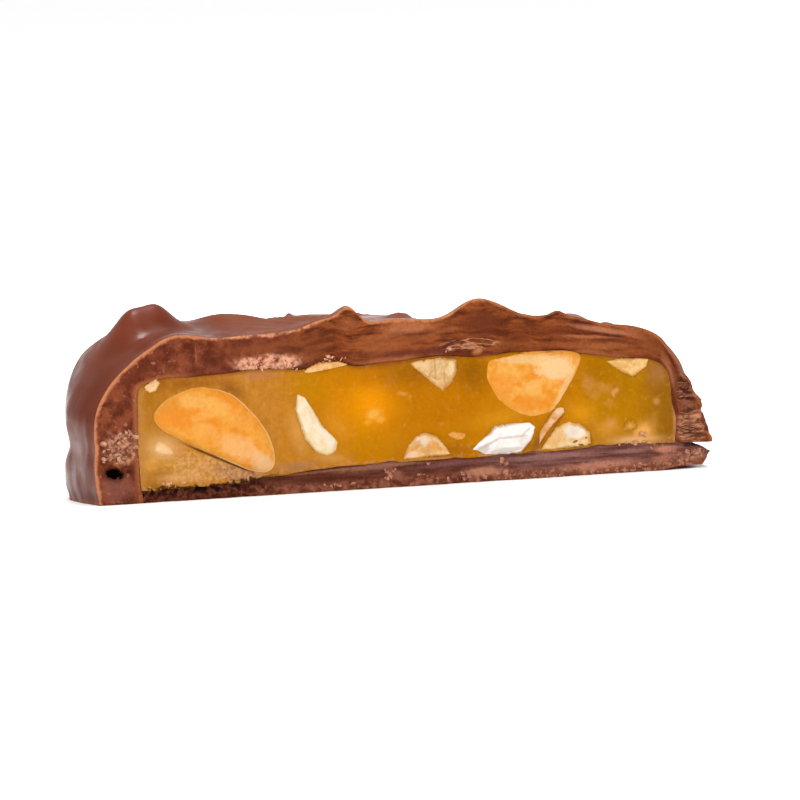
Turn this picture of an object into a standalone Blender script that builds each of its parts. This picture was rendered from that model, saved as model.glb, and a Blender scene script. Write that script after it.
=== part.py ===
# Peanut caramel patty, cut in half: a lumpy milk chocolate coat over a caramel slab with peanut pieces.
# X runs along the cut, the cut face looks towards -Y, and the half rests on its base at z = 0.
# Every form is modelled round the middle of the cut and then placed by its object's location.

import math
import bpy
import bmesh
from mathutils import Vector, noise

MM = 0.001
TOUCH_GAP = 0.3 * MM

# The middle of the cut, from the point under the middle of the whole half
CUT_X = 0.7 * MM
CUT_Y = -16.9 * MM

# The patty before the cut, seen from above
PATTY_RADIUS = 30.8 * MM
CENTRE_BEHIND_CUT = 3.5 * MM
# Bulges and hollows of the wall: direction in degrees, height, spread in degrees
WALL_LOBES = (
    (180, -0.4, 8),
    (163, 2.25, 13),
    (131, -0.7, 13),
    (104, 0.8, 12),
    (74, -0.6, 12),
    (47, 0.7, 13),
    (24, -0.5, 10),
    (0, 0.3, 10),
)

# Side view of the outer form: a rounded box, the wall standing on the floor
TOP_HEIGHT = 16.05 * MM
PROFILE_POWER = 4.4
SQUARE_POWER = 8.0
SQUARE_LEFT = (158, 15)
FOOT_TUCK = 0.35 * MM
FOOT_TUCK_HEIGHT = 2.4 * MM
RIGHT_DROP = 1.1 * MM
RIGHT_DROP_FROM = 16.0 * MM
RIGHT_DROP_TO = 23.0 * MM
BACK_SLOPE = 0.085
BACK_SLOPE_FROM = -4.0 * MM
BACK_SLOPE_TO = 11.0 * MM
SHOULDER_CUT = 0.115
SHOULDER_FROM = 3.8 * MM
SHOULDER_TO = 12.4 * MM
# Lumps of the top: x, y, height, half length, half width, turn of the length in degrees
TOP_LUMPS = (
    (-4.75, 0.5, 1.8, 3.2, 1.35, 90),
    (-7.1, 1.0, 0.9, 3.4, 1.9, 80),
    (0.3, 0.5, 0.5, 5.0, 3.6, 90),
    (7.9, 0.5, 1.95, 5.0, 2.6, 90),
    (10.6, 0.5, 0.7, 4.0, 2.2, 90),
    (16.1, 0.0, 0.5, 2.0, 0.9, 90),
    (-22.4, 0.5, 1.1, 2.8, 3.0, 100),
    (-22.8, 8.0, 2.3, 2.3, 2.0, 40),
    (-25.8, 6.6, 2.2, 1.9, 2.2, 0),
    (-24.5, 10.0, 0.9, 5.0, 4.5, 60),
    (-15.5, 12.5, 1.5, 4.5, 2.6, 15),
    (-6.4, 15.5, 0.5, 5.0, 2.4, 140),
    (-18.0, 24.0, 1.0, 4.6, 2.6, 120),
    (4.0, 23.0, 0.7, 5.5, 2.8, 60),
    (13.0, 17.0, 1.2, 5.0, 2.4, 150),
    (20.5, 9.0, 0.9, 4.2, 2.4, 70),
    (-5.0, 30.0, 0.9, 4.0, 2.6, 10),
    (15.0, 26.0, 0.8, 4.0, 2.4, 110),
)
FLUTE_DEPTH = 0.35 * MM

# The caramel slab inside the coat
WALL_LEFT = 4.7 * MM
WALL_RIGHT = 3.5 * MM
FILLING_TOP = 12.2 * MM
FILLING_POWER = 12.0
FILLING_LEFT_POWER = 24.0
FILLING_RIGHT_DROP = 0.8 * MM
FILLING_WAVE = 0.12 * MM
# Where peanut pieces press the slab's top up at the cut: x, spread, height
FILLING_RISES = (
    (-7.2, 2.2, 0.4),
    (-0.8, 3.0, 0.3),
    (3.9, 2.2, 0.2),
    (12.0, 5.0, 0.45),
)
FILLING_RISE_DEPTH = 4.0

# The chocolate base under the slab: inset from the wall at the left, past the wall at the right
BASE_INSET = 2.1 * MM
BASE_SHIFT = 1.9 * MM
BASE_THIN = 1.25 * MM
BASE_THICK = 2.55 * MM
BASE_THICK_FROM = -22.0 * MM
BASE_THICK_TO = -2.0 * MM
BASE_SWELL = (21.0 * MM, 5.0 * MM, 0.35 * MM)

# The knife's face: coarse waves all over, and crumbled patches (x, z, radius, depth)
KNIFE_RELIEF = 0.16 * MM
CRUMBLED_PATCHES = (
    (-28.0, 4.6, 2.6, 0.55),
    (-14.5, 13.0, 3.4, 0.4),
    (29.0, 4.2, 3.2, 0.55),
    (27.5, 1.4, 2.6, 0.5),
    (-20.0, 1.0, 2.4, 0.35),
)
VOID_PLACE = (-28.7, 0.1, 2.9)
VOID_SIZE = (0.8, 1.3, 0.42)

# Peanut halves: x, z, half length, half width, tilt, and a flat side's direction and distance
PEANUT_HALVES = {
    "peanut_half_left": dict(middle=(-18.2, 6.1), size=(6.9, 4.45), tilt=-26.6, flat=(-116.6, 1.8)),
    "peanut_half_right": dict(middle=(13.6, 10.9), size=(5.3, 5.0), tilt=8.0, flat=(-30.0, 3.9)),
}
PEANUT_PROUD = 0.7
PEANUT_DEPTH = 4.2

# Broken peanut pieces: corners on the cut face (x, z) and how deep the piece goes in
PEANUT_PIECES = {
    "peanut_sliver_middle": (
        ((-9.9, 9.8), (-9.2, 9.6), (-7.6, 6.6), (-6.1, 4.7), (-6.6, 3.9), (-7.4, 3.6), (-8.3, 4.1), (-10.1, 8.4)),
        3.4,
    ),
    "peanut_wedge_top": (
        ((1.1, 12.6), (5.8, 12.6), (5.8, 11.1), (5.3, 10.1), (4.3, 9.2), (3.3, 10.0), (2.4, 10.9)),
        3.8,
    ),
    "peanut_flake_top": (((-9.6, 12.1), (-8.0, 12.7), (-5.0, 12.6), (-6.2, 12.0), (-7.7, 11.6)), 2.2),
    "peanut_flake_right": (((20.8, 11.5), (25.2, 11.4), (25.0, 10.5), (23.4, 9.6), (22.4, 10.1)), 2.6),
    "peanut_chunk_low": (
        ((0.0, 2.4), (0.6, 4.1), (1.4, 4.9), (2.4, 5.3), (3.5, 4.8), (4.2, 4.0), (4.9, 2.4)),
        3.2,
    ),
    "peanut_piece_white": (
        ((6.7, 3.2), (7.8, 4.1), (9.3, 5.3), (11.0, 5.6), (13.4, 5.7), (13.5, 5.1), (12.9, 3.8), (11.7, 2.4), (8.0, 2.4)),
        3.4,
    ),
    "peanut_sliver_skin": (((15.0, 6.0), (16.3, 6.9), (16.8, 6.4), (14.6, 4.2), (14.0, 3.9)), 2.4),
    "peanut_chunk_right": (
        ((14.3, 2.5), (14.8, 3.5), (15.8, 4.7), (16.9, 5.4), (17.9, 5.2), (18.9, 4.2), (18.9, 3.2), (18.5, 2.5)),
        3.4,
    ),
}
PIECE_PROUD = 0.35

# Peanut bits under 3 mm, fused to the caramel: x, z, half length, half width, tilt
CARAMEL_BITS = (
    (-24.4, 11.4, 0.9, 0.5, 10),
    (-23.7, 5.2, 1.1, 0.75, -25),
    (5.5, 4.75, 1.1, 0.5, -14),
    (21.4, 8.0, 0.9, 0.6, 50),
    (22.9, 4.6, 0.8, 0.55, 20),
)
BIT_PROUD = 0.25

OUTER_CELLS = 58
FILLING_CELLS = 24
BASE_CELLS = 18

MILK_CHOCOLATE = ((0.150, 0.052, 0.028), 0.42)
BASE_CHOCOLATE = ((0.125, 0.050, 0.034), 0.60)
CARAMEL = ((0.600, 0.270, 0.020), 0.30)
ROAST_PEANUT = ((0.880, 0.440, 0.110), 0.55)
PALE_PEANUT = ((0.900, 0.700, 0.420), 0.55)


def smooth_step(value, start, end):
    share = min(1.0, max(0.0, (value - start) / (end - start)))
    return share * share * (3.0 - 2.0 * share)


def plan_radius(angle):
    # From the middle of the cut to the wall, for a circle whose centre lies behind the cut
    across = CENTRE_BEHIND_CUT * math.cos(angle)
    radius = CENTRE_BEHIND_CUT * math.sin(angle) + math.sqrt(PATTY_RADIUS ** 2 - across ** 2)
    for where, height, spread in WALL_LOBES:
        away = (angle - math.radians(where) + math.pi) % (2.0 * math.pi) - math.pi
        radius += height * MM * math.exp(-(away / math.radians(spread)) ** 2)
    return radius


def top_height(x, y):
    height = TOP_HEIGHT
    height -= RIGHT_DROP * smooth_step(x, RIGHT_DROP_FROM, RIGHT_DROP_TO)
    height -= BACK_SLOPE * max(0.0, y) * smooth_step(x, BACK_SLOPE_FROM, BACK_SLOPE_TO)
    for lump_x, lump_y, rise, length, width, turn in TOP_LUMPS:
        east = x / MM - lump_x
        north = y / MM - lump_y
        cosine = math.cos(math.radians(turn))
        sine = math.sin(math.radians(turn))
        along = (east * cosine + north * sine) / length
        across = (north * cosine - east * sine) / width
        height += rise * MM * math.exp(-along ** 2 - across ** 2)
    return height


def profile_points(power, half_width, height, steps=96):
    # The rounded box's outline from the top's middle down to the foot, with the length run so far
    points = []
    run = 0.0
    for step in range(steps + 1):
        lift = math.radians(90.0 * (1.0 - step / steps))
        out, up = math.cos(lift), math.sin(lift)
        scale = (abs(out) ** power + abs(up) ** power) ** (-1.0 / power)
        point = (out * scale, up * scale)
        if points:
            run += math.hypot((point[0] - points[-1][0]) * half_width, (point[1] - points[-1][1]) * height)
        points.append((*point, run))
    return [(out, up, length / run) for out, up, length in points]


def profile_at(points, share):
    # Out and up on the outline, each from 0 to 1, at a share of its whole length
    for before, after in zip(points, points[1:]):
        if share <= after[2]:
            part = (share - before[2]) / (after[2] - before[2])
            return tuple(before[i] + (after[i] - before[i]) * part for i in (0, 1))
    return points[-1][:2]


def disc_place(a, b):
    # A square's point carried to the disc: how far out, from 0 to 1, and in which direction
    east = a * math.sqrt(1.0 - b * b / 2.0)
    north = b * math.sqrt(1.0 - a * a / 2.0)
    return min(1.0, math.hypot(east, north)), math.atan2(north, east)


def outer_point(round_side, square_side, a, b):
    # The right side and a stretch at the left are squarer, and the right shoulder slopes
    share, angle = disc_place(a, b)
    right_side = smooth_step(math.cos(angle), 0.70, 0.97)
    left_side = math.exp(-((math.degrees(angle) - SQUARE_LEFT[0]) / SQUARE_LEFT[1]) ** 2)
    round_spot = Vector(profile_at(round_side, share))
    square_spot = Vector(profile_at(square_side, share))
    out, up = round_spot.lerp(square_spot, max(right_side, left_side))
    radius = plan_radius(angle)
    x, y = radius * out * math.cos(angle), radius * out * math.sin(angle)
    z = top_height(x, y) * up
    slope = min(1.0, max(0.0, (z - SHOULDER_FROM) / (SHOULDER_TO - SHOULDER_FROM)))
    shrink = 1.0 - SHOULDER_CUT * right_side * slope * smooth_step(out, 0.5, 0.95)
    on_wall = smooth_step(out, 0.80, 1.0)
    flutes = FLUTE_DEPTH * math.sin(21.0 * angle + 1.3 * math.sin(5.0 * angle)) * on_wall
    tuck = FOOT_TUCK * (1.0 - smooth_step(z, 0.0, FOOT_TUCK_HEIGHT)) * on_wall
    reach = radius * out * shrink + flutes * smooth_step(z, 1.0 * MM, 6.0 * MM) - tuck
    return Vector((reach * math.cos(angle), reach * math.sin(angle), z))


def wall_thickness(angle):
    return WALL_LEFT + (WALL_RIGHT - WALL_LEFT) * (0.5 + 0.5 * math.cos(angle))


def filling_point(plain_side, left_side, a, b, grow):
    # The left side is nearly square, and pieces below it press the slab's top up near the cut
    share, angle = disc_place(a, b)
    plain_spot = Vector(profile_at(plain_side, share))
    left_spot = Vector(profile_at(left_side, share))
    out, up = plain_spot.lerp(left_spot, smooth_step(-math.cos(angle), -0.2, 0.2))
    radius = (plan_radius(angle) - wall_thickness(angle) + grow) * out
    x, y = radius * math.cos(angle), radius * math.sin(angle)
    top = FILLING_TOP - FILLING_RIGHT_DROP * smooth_step(x, RIGHT_DROP_FROM, RIGHT_DROP_TO)
    for middle, spread, rise in FILLING_RISES:
        away = ((x / MM - middle) / spread) ** 2 + (y / MM / FILLING_RISE_DEPTH) ** 2
        top += rise * MM * math.exp(-away)
    top += FILLING_WAVE * math.sin(x / (3.1 * MM)) - 0.2 * BACK_SLOPE * max(0.0, y)
    return Vector((x, y, (top + grow) * up))


def base_thickness(x):
    middle, spread, rise = BASE_SWELL
    grown = smooth_step(x, BASE_THICK_FROM, BASE_THICK_TO)
    return BASE_THIN + (BASE_THICK - BASE_THIN) * grown + rise * math.exp(-((x - middle) / spread) ** 2)


def base_point(a, b, grow):
    share, angle = disc_place(a, b)
    inset = BASE_INSET - BASE_SHIFT * math.cos(angle)
    radius = (plan_radius(angle) - inset + grow) * share
    x, y = radius * math.cos(angle), radius * math.sin(angle)
    return Vector((x, y, base_thickness(x) + grow))


def new_material(name, look):
    colour, roughness = look
    material = bpy.data.materials.new(name)
    material.use_nodes = True
    shader = material.node_tree.nodes["Principled BSDF"]
    shader.inputs["Base Color"].default_value = (*colour, 1.0)
    shader.inputs["Roughness"].default_value = roughness
    shader.inputs["Metallic"].default_value = 0.0
    return material


def add_object(name, form, collection, look=None):
    # Closes the work on a form: outward faces, triangles, its own object at the middle of the cut
    bmesh.ops.triangulate(form, faces=form.faces[:])
    bmesh.ops.recalc_face_normals(form, faces=form.faces[:])
    mesh = bpy.data.meshes.new(name)
    form.to_mesh(mesh)
    form.free()
    thing = bpy.data.objects.new(name, mesh)
    thing.location = (CUT_X, CUT_Y, 0.0)
    collection.objects.link(thing)
    if look is None:
        thing.hide_render = True
        thing.display_type = "WIRE"
    else:
        mesh.materials.append(new_material(name, look))
    return thing


def dome(cells, place):
    # A square grid carried over the form, its open rim closed with one flat face
    form = bmesh.new()
    bmesh.ops.create_grid(form, x_segments=cells, y_segments=cells, size=1.0)
    for point in form.verts:
        point.co = place(point.co.x, point.co.y)
    rim = [edge for edge in form.edges if edge.is_boundary]
    bmesh.ops.holes_fill(form, edges=rim, sides=0)
    return form


def slab(cells, place, bottom):
    # A square grid carried over the form, extruded down to a level bottom
    form = bmesh.new()
    bmesh.ops.create_grid(form, x_segments=cells, y_segments=cells, size=1.0)
    for point in form.verts:
        point.co = place(point.co.x, point.co.y)
    rim = [edge for edge in form.edges if edge.is_boundary]
    skirt = bmesh.ops.extrude_edge_only(form, edges=rim)["geom"]
    low_points = [piece for piece in skirt if isinstance(piece, bmesh.types.BMVert)]
    for point in low_points:
        point.co.z = bottom
    low_rim = [edge for edge in form.edges if edge.is_boundary]
    bmesh.ops.holes_fill(form, edges=low_rim, sides=0)
    return form


def filling_form(grow):
    plain_side = profile_points(FILLING_POWER, PATTY_RADIUS - WALL_LEFT, FILLING_TOP)
    left_side = profile_points(FILLING_LEFT_POWER, PATTY_RADIUS - WALL_LEFT, FILLING_TOP)
    return dome(FILLING_CELLS, lambda a, b: filling_point(plain_side, left_side, a, b, grow))


def knife_form():
    # All that lies in front of the cut, its face wavy, with deeper bites in the crumbled patches
    form = bmesh.new()
    bmesh.ops.create_grid(form, x_segments=62, y_segments=18, size=1.0)
    for point in form.verts:
        x, z = point.co.x * 36.0, 9.0 + point.co.y * 13.0
        depth = KNIFE_RELIEF * noise.noise(Vector((x * 0.45, 3.0, z * 0.45)))
        for patch_x, patch_z, radius, bite in CRUMBLED_PATCHES:
            inside = math.exp(-((x - patch_x) ** 2 + (z - patch_z) ** 2) / radius ** 2)
            crumb = noise.noise(Vector((x * 1.1, 7.0, z * 1.1)))
            depth += bite * MM * inside * (0.45 + crumb)
        point.co = (x * MM, depth, z * MM)
    front = bmesh.ops.extrude_face_region(form, geom=form.faces[:])["geom"]
    for piece in front:
        if isinstance(piece, bmesh.types.BMVert):
            piece.co.y = -60.0 * MM
    return form


def peanut_form(half, grow):
    # A ball pressed to the half's outline, low in front and deep behind, with one side sliced flat
    form = bmesh.new()
    bmesh.ops.create_uvsphere(form, u_segments=20, v_segments=11, radius=1.0)
    length, width = half["size"]
    tilt = math.radians(half["tilt"])
    slice_angle = math.radians(half["flat"][0])
    middle = Vector((half["middle"][0], 0.0, half["middle"][1])) * MM
    for point in form.verts:
        reach = PEANUT_DEPTH if point.co.z > 0.0 else PEANUT_PROUD
        along = point.co.x * (length * MM + grow)
        across = point.co.y * (width * MM + grow)
        deep = point.co.z * (reach * MM + grow)
        x = along * math.cos(tilt) - across * math.sin(tilt)
        z = along * math.sin(tilt) + across * math.cos(tilt)
        point.co = Vector((x, deep, z)) + middle
    outwards = Vector((math.cos(slice_angle), 0.0, math.sin(slice_angle)))
    sliced = bmesh.ops.bisect_plane(
        form,
        geom=form.verts[:] + form.edges[:] + form.faces[:],
        plane_co=middle + outwards * (half["flat"][1] * MM + grow),
        plane_no=outwards,
        clear_outer=True,
    )
    rim = [piece for piece in sliced["geom_cut"] if isinstance(piece, bmesh.types.BMEdge)]
    bmesh.ops.holes_fill(form, edges=rim, sides=0)
    return form


def chip_form(corners, proud, depth, grow):
    # The hull round the outline: a little smaller in front, full size at the cut, smaller behind
    middle = sum((Vector(corner) for corner in corners), Vector((0.0, 0.0))) / len(corners)
    form = bmesh.new()
    for deep, share in ((-proud, 0.72), (0.1, 1.0), (0.45 * depth, 0.95), (depth, 0.5)):
        for corner in corners:
            away = Vector(corner) - middle
            spot = middle + away * share + away.normalized() * (grow / MM)
            y = deep * MM + math.copysign(grow, deep) * (abs(deep) > 0.2)
            form.verts.new((spot.x * MM, y, spot.y * MM))
    hull = bmesh.ops.convex_hull(form, input=form.verts[:])
    inner = [piece for piece in hull["geom_interior"] if isinstance(piece, bmesh.types.BMVert)]
    bmesh.ops.delete(form, geom=inner, context="VERTS")
    return form


def bit_form(x, z, length, width, tilt):
    form = bmesh.new()
    bmesh.ops.create_icosphere(form, subdivisions=1, radius=1.0)
    turn = math.radians(tilt)
    for point in form.verts:
        along, across = point.co.x * length, point.co.y * width
        point.co = Vector(
            (
                (x + along * math.cos(turn) - across * math.sin(turn)) * MM,
                (0.6 + point.co.z * (0.6 + BIT_PROUD)) * MM,
                (z + along * math.sin(turn) + across * math.cos(turn)) * MM,
            )
        )
    return form


def void_form():
    form = bmesh.new()
    bmesh.ops.create_icosphere(form, subdivisions=2, radius=1.0)
    for point in form.verts:
        point.co = Vector([(VOID_PLACE[i] + point.co[i] * VOID_SIZE[i]) * MM for i in range(3)])
    return form


def combine(thing, operation, *others, solver="EXACT"):
    for other in others:
        step = thing.modifiers.new(f"{operation.lower()} {other.name}", "BOOLEAN")
        step.operation = operation
        step.solver = solver
        step.object = other


def fuse_collection(thing, collection):
    # One union on the whole collection, applied, and its objects then removed
    step = thing.modifiers.new("fused bits", "BOOLEAN")
    step.operation = "UNION"
    step.solver = "MANIFOLD"
    step.operand_type = "COLLECTION"
    step.collection = collection
    graph = bpy.context.evaluated_depsgraph_get()
    fused = bpy.data.meshes.new_from_object(thing.evaluated_get(graph))
    thing.modifiers.clear()
    thing.data = fused
    for bit in collection.objects[:]:
        bpy.data.objects.remove(bit, do_unlink=True)
    bpy.data.collections.remove(collection)


def make_collection(name):
    collection = bpy.data.collections.new(name)
    bpy.context.scene.collection.children.link(collection)
    return collection


def build():
    for thing in bpy.data.objects[:]:
        bpy.data.objects.remove(thing, do_unlink=True)
    patty = make_collection("peanut_caramel_patty")
    cutters = make_collection("cutters")

    knife = add_object("knife", knife_form(), cutters)
    envelope = add_object("filling_envelope", filling_form(0.0), cutters)
    cavity = add_object("filling_cavity", filling_form(TOUCH_GAP), cutters)
    seat_form = slab(BASE_CELLS, lambda a, b: base_point(a, b, TOUCH_GAP), -2.0 * MM)
    seat = add_object("base_seat", seat_form, cutters)
    void = add_object("corner_void", void_form(), cutters)

    round_side = profile_points(PROFILE_POWER, PATTY_RADIUS, TOP_HEIGHT)
    square_side = profile_points(SQUARE_POWER, PATTY_RADIUS, TOP_HEIGHT)
    coat_form = dome(OUTER_CELLS, lambda a, b: outer_point(round_side, square_side, a, b))
    coat = add_object("chocolate_coat", coat_form, patty, MILK_CHOCOLATE)
    combine(coat, "DIFFERENCE", cavity, seat, knife, void)

    base_form = slab(BASE_CELLS, lambda a, b: base_point(a, b, 0.0), 0.0)
    base = add_object("chocolate_base", base_form, patty, BASE_CHOCOLATE)
    combine(base, "DIFFERENCE", knife)

    caramel = add_object("caramel_filling", filling_form(0.0), patty, CARAMEL)
    combine(caramel, "DIFFERENCE", seat, knife, solver="MANIFOLD")
    for name, half in PEANUT_HALVES.items():
        pocket = add_object(f"{name}_pocket", peanut_form(half, TOUCH_GAP), cutters)
        combine(caramel, "DIFFERENCE", pocket, solver="MANIFOLD")
        nut = add_object(name, peanut_form(half, 0.0), patty, ROAST_PEANUT)
        combine(nut, "INTERSECT", envelope)
    for name, (corners, depth) in PEANUT_PIECES.items():
        pocket_form = chip_form(corners, PIECE_PROUD, depth, TOUCH_GAP)
        pocket = add_object(f"{name}_pocket", pocket_form, cutters)
        combine(caramel, "DIFFERENCE", pocket, solver="MANIFOLD")
        nut = add_object(name, chip_form(corners, PIECE_PROUD, depth, 0.0), patty, PALE_PEANUT)
        combine(nut, "INTERSECT", envelope)
        combine(nut, "DIFFERENCE", seat)
    bits = make_collection("caramel_bits")
    for number, bit in enumerate(CARAMEL_BITS):
        add_object(f"bit_{number}", bit_form(*bit), bits)
    fuse_collection(caramel, bits)


build()
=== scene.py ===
import itertools
import math
import bpy
import numpy as np
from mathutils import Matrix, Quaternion, Vector


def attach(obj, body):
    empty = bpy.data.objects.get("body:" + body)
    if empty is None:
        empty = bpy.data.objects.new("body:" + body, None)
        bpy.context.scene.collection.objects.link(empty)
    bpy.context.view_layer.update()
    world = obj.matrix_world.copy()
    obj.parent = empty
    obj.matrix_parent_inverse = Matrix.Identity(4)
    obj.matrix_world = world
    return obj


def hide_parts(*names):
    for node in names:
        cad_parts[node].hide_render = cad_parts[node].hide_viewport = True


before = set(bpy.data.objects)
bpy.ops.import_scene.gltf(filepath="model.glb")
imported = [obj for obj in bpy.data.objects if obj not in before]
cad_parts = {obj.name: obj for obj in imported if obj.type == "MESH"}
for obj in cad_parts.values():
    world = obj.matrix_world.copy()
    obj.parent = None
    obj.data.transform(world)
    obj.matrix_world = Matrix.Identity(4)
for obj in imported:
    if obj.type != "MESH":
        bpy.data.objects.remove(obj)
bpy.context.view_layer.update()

mm = 0.001

# Where the middle of the cut stands; x, y and z below are millimetres from there, y going into the patty
cutPlace = np.array([0.7, -16.9, 0.0])

# The outer form, from the same driving sizes as the solid coat, in millimetres
patty = dict(
    radius=30.8,
    centreBehindCut=3.5,
    topHeight=16.05,
    roundPower=4.4,
    squarePower=8.0,
    # where the left wall is squarer: direction and spread in degrees
    squareLeft=(158, 15),
    footTuck=0.35,
    footTuckHeight=2.4,
    rightDrop=1.1,
    rightDropFrom=16.0,
    rightDropTo=23.0,
    backSlope=0.085,
    backSlopeFrom=-4.0,
    backSlopeTo=11.0,
    shoulderCut=0.115,
    shoulderFrom=3.8,
    shoulderTo=12.4,
    flutes=21.0,
    fluteDepth=0.35,
    # direction in degrees, height, spread in degrees
    wallLobes=(
        (180, -0.4, 8), (163, 2.25, 13), (131, -0.7, 13), (104, 0.8, 12),
        (74, -0.6, 12), (47, 0.7, 13), (24, -0.5, 10), (0, 0.3, 10),
    ),
    # x, y, height, half length, half width, turn in degrees
    topLumps=(
        (-4.75, 0.5, 1.8, 3.2, 1.35, 90), (-7.1, 1.0, 0.9, 3.4, 1.9, 80),
        (0.3, 0.5, 0.50, 5.0, 3.6, 90),
        (7.9, 0.5, 1.95, 5.0, 2.6, 90), (10.6, 0.5, 0.7, 4.0, 2.2, 90),
        (16.1, 0.0, 0.5, 2.0, 0.9, 90), (-22.4, 0.5, 1.1, 2.8, 3.0, 100),
        (-22.8, 8.0, 2.3, 2.3, 2.0, 40), (-25.8, 6.6, 2.2, 1.9, 2.2, 0),
        (-24.5, 10.0, 0.9, 5.0, 4.5, 60),
        (-15.5, 12.5, 1.5, 4.5, 2.6, 15), (-6.4, 15.5, 0.5, 5.0, 2.4, 140),
        (-18.0, 24.0, 1.0, 4.6, 2.6, 120), (4.0, 23.0, 0.7, 5.5, 2.8, 60),
        (13.0, 17.0, 1.2, 5.0, 2.4, 150), (20.5, 9.0, 0.9, 4.2, 2.4, 70),
        (-5.0, 30.0, 0.9, 4.0, 2.6, 10), (15.0, 26.0, 0.8, 4.0, 2.4, 110),
    ),
)

# The caramel slab inside the walls, and the base below it
slab = dict(
    wallLeft=4.7,
    wallRight=3.5,
    top=12.2,
    power=12.0,
    leftPower=24.0,
    rightDrop=0.8,
    # x, spread, height: where flakes, a wedge and a half peanut press the top up
    topRises=((-7.2, 2.2, 0.40), (-0.8, 3.0, 0.30), (3.9, 2.2, 0.20), (12.0, 5.0, 0.45)),
    baseInset=2.1,
    baseShift=1.9,
    baseThin=1.25,
    baseThick=2.55,
    baseThickFrom=-22.0,
    baseThickTo=-2.0,
    # x, spread, height
    baseSwell=(21.0, 5.0, 0.35),
)

# Crumbled patches of the cut: x, z, half width, half height, how deep they are bitten
crumbledPatches = (
    (-27.9, 5.5, 1.8, 1.7, 0.42),
    (-12.9, 13.0, 3.6, 0.95, 0.22),
    (29.0, 4.2, 1.7, 1.9, 0.24),
    (28.8, 7.8, 1.0, 2.4, 0.30),
    (28.6, 1.1, 2.4, 0.9, 0.30),
    (-21.5, 1.1, 4.6, 0.5, 0.30),
)
# The black void low in the left corner of the cut
cornerVoid = dict(middle=(-28.55, 2.95), size=(1.0, 0.58), depth=1.6)
# A slit between the right wall and the base: x from which it runs, z, half height, depth
footSlit = (27.9, 2.35, 0.16, 0.9)
# How far behind the cut its relief fades out
reliefReach = 0.9


def tone(red, green, blue, light=2.12):
    # The paint that looks like this colour, from 0 to 255, in this light: its linear value over the light
    return tuple(((part / 255.0 + 0.055) / 1.055) ** 2.4 / light for part in (red, green, blue))


def smoothStep(value, start, end):
    # 0 at start and 1 at end, where start may be the larger, and 3 share^2 - 2 share^3 between
    share = np.clip((value - start) / (end - start), 0.0, 1.0)
    return share * share * (3.0 - 2.0 * share)


def bell(value, middle, spread):
    # exp(-(distance / spread)^2), which is 1 in the middle
    return np.exp(-((value - middle) / spread) ** 2)


def softNoise(x, y, z, size, seed):
    # Random values from -1 to 1 at whole-number points of a lattice, blended smoothly between them
    tableSize, primes = 8192, (73856093, 19349663, 83492791)
    table = np.random.default_rng(seed).uniform(-1.0, 1.0, tableSize)
    spots = np.stack(np.broadcast_arrays(x, y, z)).astype(float)
    size = np.broadcast_to(size, 3).astype(float)
    spots = spots / size.reshape(3, *[1] * (spots.ndim - 1))
    cell = np.floor(spots).astype(np.int64)
    part = smoothStep(spots - cell, 0.0, 1.0)
    total = 0.0
    for corner in itertools.product((0, 1), repeat=3):
        key, weight = 0, 1.0
        for n, prime in enumerate(primes):
            key = key ^ ((cell[n] + corner[n]) * prime)
            weight = weight * (part[n] if corner[n] else 1.0 - part[n])
        total = total + weight * table[key % tableSize]
    return total


def roughNoise(x, y, z, size, seed):
    # Three soft noises, each half as large and half as strong as the one before, over the sum of their shares
    shares = (1.0, 0.5, 0.25)
    layers = (part * softNoise(x, y, z, np.asarray(size) * part, seed + n) for n, part in enumerate(shares))
    return sum(layers) / sum(shares)


def turnedAxes(east, north, degrees):
    # The same place along turned axes: east cosine + north sine, and north cosine - east sine
    cosine, sine = math.cos(math.radians(degrees)), math.sin(math.radians(degrees))
    return east * cosine + north * sine, north * cosine - east * sine


def fromMiddle(distance, angle):
    # The two coordinates of a place at a distance and direction: distance times cosine and times sine
    return distance * np.cos(angle), distance * np.sin(angle)


def nearCut(y):
    # 1 at the cut, and a bell of the depth behind it, so that the cut's relief fades out
    return bell(y, 0.0, reliefReach)


def discPlace(a, b):
    # A point of the square carried to the disc: how far out, from 0 to 1, and in which direction
    east = a * np.sqrt(1.0 - b * b / 2.0)
    north = b * np.sqrt(1.0 - a * a / 2.0)
    return np.minimum(1.0, np.hypot(east, north)), np.arctan2(north, east)


def profileAt(power, halfWidth, height, share):
    # Out and up on the rounded box |out|^power + |up|^power = 1, by the length run from its top
    samples = 97
    lift = np.radians(np.linspace(90.0, 0.0, samples))
    out, up = np.cos(lift), np.sin(lift)
    scale = (np.abs(out) ** power + np.abs(up) ** power) ** (-1.0 / power)
    out, up = out * scale, up * scale
    run = np.concatenate([[0.0], np.cumsum(np.hypot(np.diff(out) * halfWidth, np.diff(up) * height))])
    return np.stack([np.interp(share, run / run[-1], out), np.interp(share, run / run[-1], up)])


def planRadius(angle):
    # From the middle of the cut to the wall: a circle whose centre lies behind the cut, with lobes
    across = patty["centreBehindCut"] * np.cos(angle)
    radius = patty["centreBehindCut"] * np.sin(angle) + np.sqrt(patty["radius"] ** 2 - across ** 2)
    for where, height, spread in patty["wallLobes"]:
        radius = radius + height * bell(np.degrees(angle), where, spread)
    return radius


def dropped(x):
    # 0 along most of the patty and 1 at its right end, where its top and the slab lie lower
    return smoothStep(x, patty["rightDropFrom"], patty["rightDropTo"])


def topHeight(x, y):
    # A level top that drops at the right and slopes to the back, with lumps of exp(-along^2 - across^2)
    height = patty["topHeight"] - patty["rightDrop"] * dropped(x)
    slope = smoothStep(x, patty["backSlopeFrom"], patty["backSlopeTo"])
    height = height - patty["backSlope"] * np.maximum(0.0, y) * slope
    for lumpX, lumpY, rise, length, width, turn in patty["topLumps"]:
        along, across = turnedAxes(x - lumpX, y - lumpY, turn)
        height = height + rise * np.exp(-(along / length) ** 2 - (across / width) ** 2)
    return height


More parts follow.
